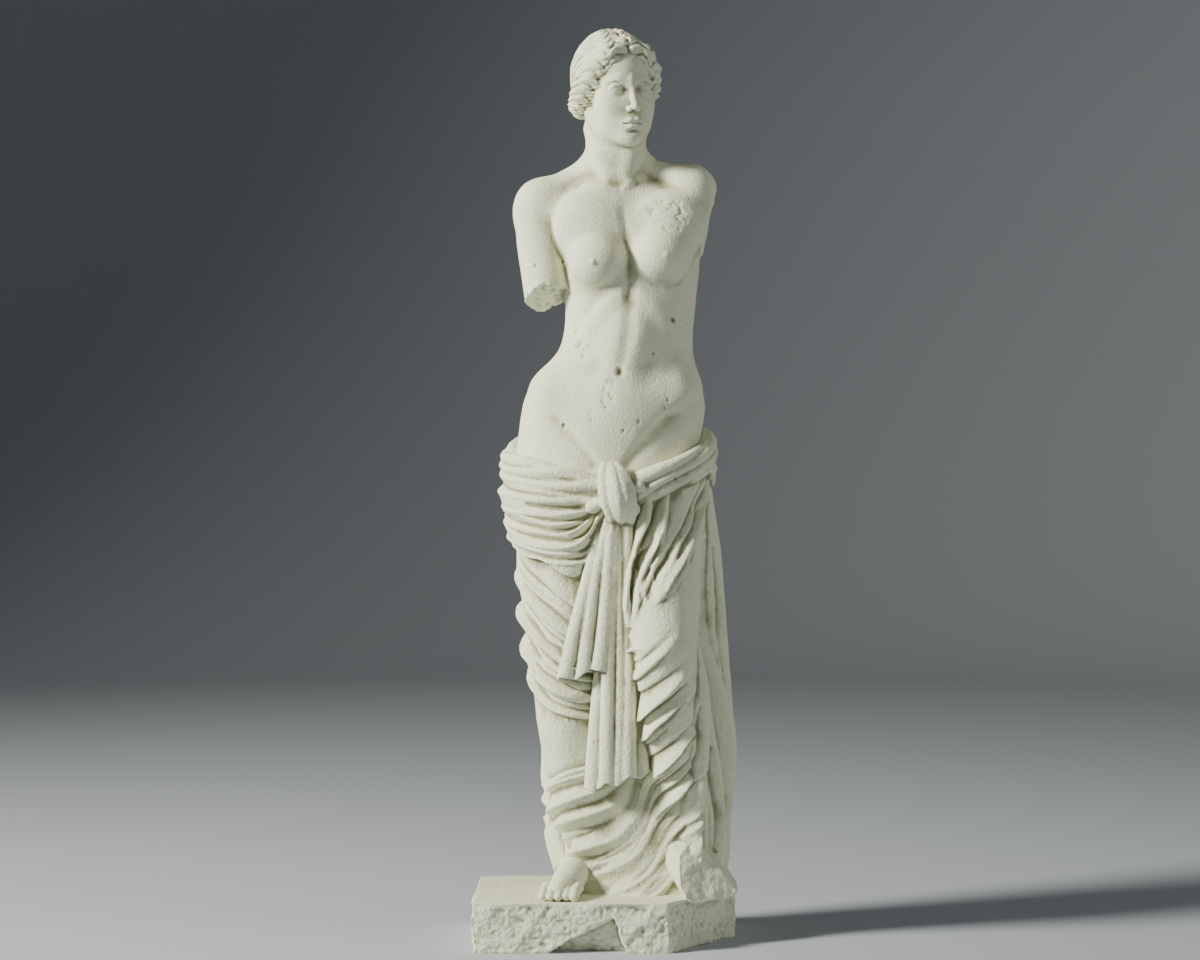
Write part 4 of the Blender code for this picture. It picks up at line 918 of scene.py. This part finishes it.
def round_her(clay):
    """Every place's angle, height and distance from the middle line."""
    x, y, z = clay.everywhere()
    cx, cy = (v.reshape(z.shape) for v in curve(CORE, z))
    return np.degrees(np.arctan2(x - cx, cy - y)), z, np.hypot(x - cx, y - cy)


def skirt(clay):
    """The cloth round her legs, its folds, the part that hangs over it, and the hem, lifted off her right toes."""
    cloth_form(clay)
    x, y, z = clay.everywhere()
    angle, _, radius = round_her(clay)
    raised = relief(SKIRT_FOLDS, angle, z, radius) + 5 * np.exp(-np.maximum(z - SLAB_TOP, 0) / 12)
    folded = relief(OVERHANG_FOLDS, angle, z, radius)
    hem = curve(OVERHANG, angle)[0] + 4 * np.sin(np.radians(angle * 11)) - 1.2 * folded
    over = step_up(z - hem, 3.5)
    raised = raised * (1 - over) + over * (8 + folded)
    under = clay.f + 12
    clay.f -= raised
    lifted = SLAB_TOP + 42 * np.exp(-(((x + 61) / 17) ** 2)) * step_up(8 - y, 16) - 12
    clay.f = np.minimum(np.maximum(clay.f, lifted - z), under)
    clay.f = np.maximum(clay.f, (z - curve(ROLL, angle)[0] - 4) * 0.9)


def roll(clay):
    """The cloth rolled round the hips, in twisted strands."""
    strands = 7
    angles = np.linspace(-186, 186, 63)
    points, out = on_form(angles, curve(ROLL, np.clip(angles, -180, 180))[0], hips_form)
    clay.rod(np.column_stack([points - 3 * out, np.full(angles.size, 9.0)]), soft=3)
    for i in range(strands):
        sway = 20 * np.sin(np.radians(angles * 2 + 50 * i)) + 9 * np.sin(np.radians(angles * 5 + 110 * i))
        turn = np.radians(angles + 360 / strands * i + sway)
        strand = points + out * (-2 + 7 * np.cos(turn))[:, None]
        strand[:, 2] += 13 * np.sin(turn)
        clay.rod(np.column_stack([strand, 6.3 + 1.8 * np.sin(np.radians(angles * 3 + 80 * i))]), soft=1.8)


def knot(clay):
    """The upper end is passed over the roll and tucked under, and its folds slant across the knot."""
    points, out = on_form([5] * 9, np.linspace(519, 455, 9), hips_form)
    t = np.linspace(0, 1, 9)
    swell = np.sin(np.pi * t) ** 0.7
    for i in range(5):
        lean = i - 2
        band = points + out * (2 + (19 - 1.4 * lean**2) * swell)[:, None]
        band[:, 0] += lean * (3.4 + 3.2 * swell) + (i % 2) * 1.5 + 11 * (t - 0.5)
        clay.rod(spread(np.column_stack([band, 3.6 + 2.4 * swell + 0.8 * ((i + 1) % 2)]), 25), soft=1.6)
    for z, x, size in ((478, -15, 6.5), (492, 21, 6.5), (468, 17, 6)):
        side, way = on_form([np.degrees(np.arctan2(x, 60))] * 2, [z, z + 6], hips_form)
        clay.rod([(x - 7, side[0][1] - 7, z - 4, size), (x + 7, side[1][1] - 9, z + 4, size)], soft=3)


def tooled_lines(clay):
    """Narrow cuts drawn beside the folds, each over a part of its fold's length."""
    rng = np.random.RandomState(31)
    cuts = []
    for sunk, path, w, _ in SKIRT_FOLDS + OVERHANG_FOLDS:
        if sunk or np.cos(np.radians(path[:, 0].mean())) < -0.5:
            continue
        for side in (-1, 1, 1):
            start, share = rng.uniform(0, 0.55), rng.uniform(0.25, 0.5)
            part = spread(path, 60)[int(60 * start):int(60 * min(start + share, 1))]
            t = np.linspace(0, 1, len(part))
            aside = side * rng.uniform(0.5, 0.8) * w.mean() / UNITS_PER_DEGREE
            aside = aside + 0.7 * np.sin(8 * t + rng.uniform(0, 6))
            width = rng.uniform(3.2, 4.8) * (0.4 + 0.6 * np.sin(np.pi * t))
            cuts.append((False, part + np.stack([aside, 0 * t], 1), width, rng.uniform(1.1, 1.5) * width))
    clay.f += relief(cuts, *round_her(clay))


# The second colour is the olive tint of the stains and of the shade painted in the folds' creases and hollows.
cloak_plaster = cast_material("cloak plaster", WHITE, (0.30, 0.30, 0.18, 1), 0.18,
                              grain_size=0.0021, grain_depth=0.0007)
cloak_clay = Clay(lines_of((-138, 152, 1.25)), lines_of((-112, 98, 1.25)), lines_of((42, 590, 1.35)))
skirt(cloak_clay)
tooled_lines(cloak_clay)
roll(cloak_clay)
knot_ends(cloak_clay)
knot(cloak_clay)
cast(
    "cloak", cloak_clay, 196000, cloak_plaster,
    grain_size=0.0024, grain_height=0.0004, swell_size=0.010, swell_height=0.0006,
    holes_per_square_metre=900.0, hole_radius=0.0020, hole_depth=0.0011, seed=12,
)


# Her feet are plaster too, in one with the cloak and the slab. The toes of the right one show below the hem.
# The left one is lost: what is cast is its stump, with the rough faces of the break.


def feet(clay):
    clay.rod([(-40, -4, 74, 19), (-50, -36, 67, 16), (-59, -60, 61, 11)], soft=8)
    for i in range(5):
        great = i == 4
        x, y = -75 + i * 8.4, -68 - 5 * math.sin(i / 4 * 3.0) - 3 * great
        clay.rod([(x + 4, y + 22, 63, 6.5), (x + 1, y + 7, 61, 4.6 + great), (x, y, 57.5, 4.4 + 1.2 * great)], soft=2)
    stump = clay.like()
    stump.rod([(74, 4, 104, 26), (88, -28, 80, 25), (102, -60, 64, 22)], soft=0)
    stump.ball((112, -20, 66), (28, 30, 22), soft=12)
    cut, x, y, z = stump.near((30, -100, 30), (160, 50, 150))
    stump.f[cut] += 2.4 * noise(x, y, z, 21, 9) + 0.8 * noise(x, y, z, 8, 10)
    snap(stump, (96, -38, 76), (0.42, -0.84, 0.34), 1.2, 60)
    snap(stump, (112, -30, 84), (0.75, -0.2, 0.63), 1.2, 40)
    clay.blend(cut, stump.f[cut], 12)


feet_clay = Clay(lines_of((-96, 148, 0.95)), lines_of((-98, 40, 0.95)), lines_of((46, 142, 0.95)))
feet(feet_clay)
feet_clay.f[:, :, 0] = 1.0
cast(
    "feet", feet_clay, 110000, cloak_plaster,
    grain_size=0.0022, grain_height=0.0003, swell_size=0.008, swell_height=0.0004,
    holes_per_square_metre=1200.0, hole_radius=0.0014, hole_depth=0.0008, seed=13,
)


# The slab is cast in one with her, smooth on top, with stippled sides and a broken front corner.
# A wedge is out of its front edge, below the top.

PLINTH_WIDTH = 0.213
PLINTH_DEPTH = 0.132
PLINTH_THICKNESS = 0.039
PLINTH_CORNER_X = 0.056
PLINTH_CORNER_Y = 0.072
PLINTH_MIDDLE_X = -0.006
PLINTH_MIDDLE_Y = 0.006
left, right = ((PLINTH_MIDDLE_X + side * PLINTH_WIDTH / 2) / UNIT for side in (-1, 1))
front, back = ((PLINTH_MIDDLE_Y + side * PLINTH_DEPTH / 2) / UNIT for side in (-1, 1))


def slab(clay):
    """The plain slab, and what is broken off it: the corner at her front left, and a wedge of the front edge."""
    corners = [(left, front), (left, back), (right, back), (right, front + PLINTH_CORNER_Y / UNIT),
               (right - PLINTH_CORNER_X / UNIT, front)]
    pad = 12
    cut, x, y, z = clay.near((left - pad, front - pad, SLAB_BOTTOM - 16), (right + pad, back + pad, SLAB_TOP + pad))
    d = np.maximum(z - SLAB_TOP, SLAB_BOTTOM - 8 - z) + 0 * (x + y)
    for (ax, ay), (bx, by) in zip(corners, corners[1:] + corners[:1]):
        length = math.hypot(bx - ax, by - ay)
        d = np.maximum(d, ((y - ay) * (bx - ax) - (x - ax) * (by - ay)) / length)
    x, y, z = np.broadcast_arrays(x, y, z)
    tooled = 3.0 * noise(x, y, z, 26, 5) + 1.6 * noise(x, y, z, 11, 6)
    d = d + tooled * step_up(SLAB_TOP - 3 - z, 8) + 0.6 * noise(x, y, z, 30, 7)
    clay.blend(cut, d, 2.5)
    foot, peak = left + 0.28 * PLINTH_WIDTH / UNIT, left + 0.54 * PLINTH_WIDTH / UNIT
    up, high = z - SLAB_BOTTOM, 0.72 * PLINTH_THICKNESS / UNIT
    wedge = np.maximum(0.89 * up - 0.46 * (x - foot), 0.96 * (x - peak) + 0.28 * (up - high))
    wedge = np.maximum(wedge, 0.95 * (y - front - 15) + 0.31 * up) + 2.2 * noise(x, y, z, 12, 8)
    clay.blend(cut, wedge, 1.0, take_away=True)


# The second colour is the olive tint of the stains and of the shade painted in the hollows of the stippling and the
# breaks.
slab_plaster = cast_material("stippled plaster", (0.78, 0.80, 0.61, 1), (0.30, 0.30, 0.19, 1), 0.20,
                             grain_size=0.0020, grain_depth=0.0007)
slab_clay = Clay(lines_of((left - 14, right + 14, 1.35)), lines_of((front - 14, back + 14, 1.35)),
                 np.append(SLAB_BOTTOM - 1.3, np.arange(SLAB_BOTTOM, SLAB_TOP + 8, 1.2)))
slab(slab_clay)
everywhere = np.broadcast_arrays(*slab_clay.everywhere())
stipple = noise(*everywhere, 3.6, 8) + 0.4 * noise(*everywhere, 2.6, 18) + 0.4 * noise(*everywhere, 8, 28)
slab_clay.f += 0.95 * stipple * step_up(SLAB_TOP - 4 - everywhere[2], 5)
slab_clay.f[:, :, 0] = 0.001
cast(
    "slab", slab_clay, 150000, slab_plaster,
    grain_size=0.0022, grain_height=0.0004, swell_size=0.012, swell_height=0.0006,
    holes_per_square_metre=1200.0, hole_radius=0.0012, hole_depth=0.0007, seed=14,
)


# A pale round floor that curves up into a plain wall on all sides, and soft studio light:
# a large soft light from the upper left in front, and only a weak one from the right.

FLOOR_RADIUS = 2.6
COVE_RADIUS = 1.3
WALL_HEIGHT = 3.4

turns = np.linspace(0, math.pi / 2, 13)
cove = [(FLOOR_RADIUS + COVE_RADIUS * math.sin(a), COVE_RADIUS * (1 - math.cos(a))) for a in turns]
profile = [(0.0, 0.0), (0.6, 0.0), (1.4, 0.0), *cove, (FLOOR_RADIUS + COVE_RADIUS, WALL_HEIGHT)]
room = bmesh.new()
rim = [room.verts.new((r, 0, z)) for r, z in profile]
edges = [room.edges.new(pair) for pair in zip(rim, rim[1:])]
bmesh.ops.spin(room, geom=rim + edges, cent=(0, 0, 0), axis=(0, 0, 1), angle=2 * math.pi, steps=96, use_merge=True)
bmesh.ops.remove_doubles(room, verts=room.verts, dist=1e-5)
bmesh.ops.recalc_face_normals(room, faces=room.faces)
if sum(face.normal.z for face in room.faces) < 0:
    bmesh.ops.reverse_faces(room, faces=room.faces)
room_mesh = bpy.data.meshes.new("studio_floor")
room.to_mesh(room_mesh)
room.free()
room_mesh.shade_smooth()
paper = bpy.data.materials.new("pale paper")
paper.use_nodes = True
paper_shader = paper.node_tree.nodes["Principled BSDF"].inputs
paper_shader["Base Color"].default_value = (0.45, 0.48, 0.53, 1)
paper_shader["Roughness"].default_value = 0.9
room_mesh.materials.append(paper)
studio_floor = bpy.data.objects.new("studio_floor", room_mesh)
bpy.context.scene.collection.objects.link(studio_floor)


def soft_light(name, place, aim, size, power, colour, spread_degrees):
    data = bpy.data.lights.new(name, "AREA")
    data.shape = "DISK"
    data.size = size
    data.energy = power
    data.color = colour
    data.spread = math.radians(spread_degrees)
    lamp = bpy.data.objects.new(name, data)
    lamp.location = place
    x, y, z = np.subtract(aim, place)
    lamp.rotation_euler = (math.atan2(math.hypot(x, y), -z), 0, math.atan2(-x, y))
    lamp.visible_camera = False
    bpy.context.scene.collection.objects.link(lamp)


soft_light("key light", (-2.3, -0.95, 1.55), (0, 0, 0.40), 0.55, 56, (1.0, 0.99, 0.88), 104)
soft_light("fill light", (2.3, -0.9, 1.2), (0, 0, 0.35), 1.4, 2.6, (1.0, 1.0, 0.95), 70)

world = bpy.data.worlds.new("studio")
world.use_nodes = True
background = world.node_tree.nodes["Background"].inputs
background["Color"].default_value = (1.0, 1.0, 0.96, 1)
background["Strength"].default_value = 0.085
bpy.context.scene.world = world
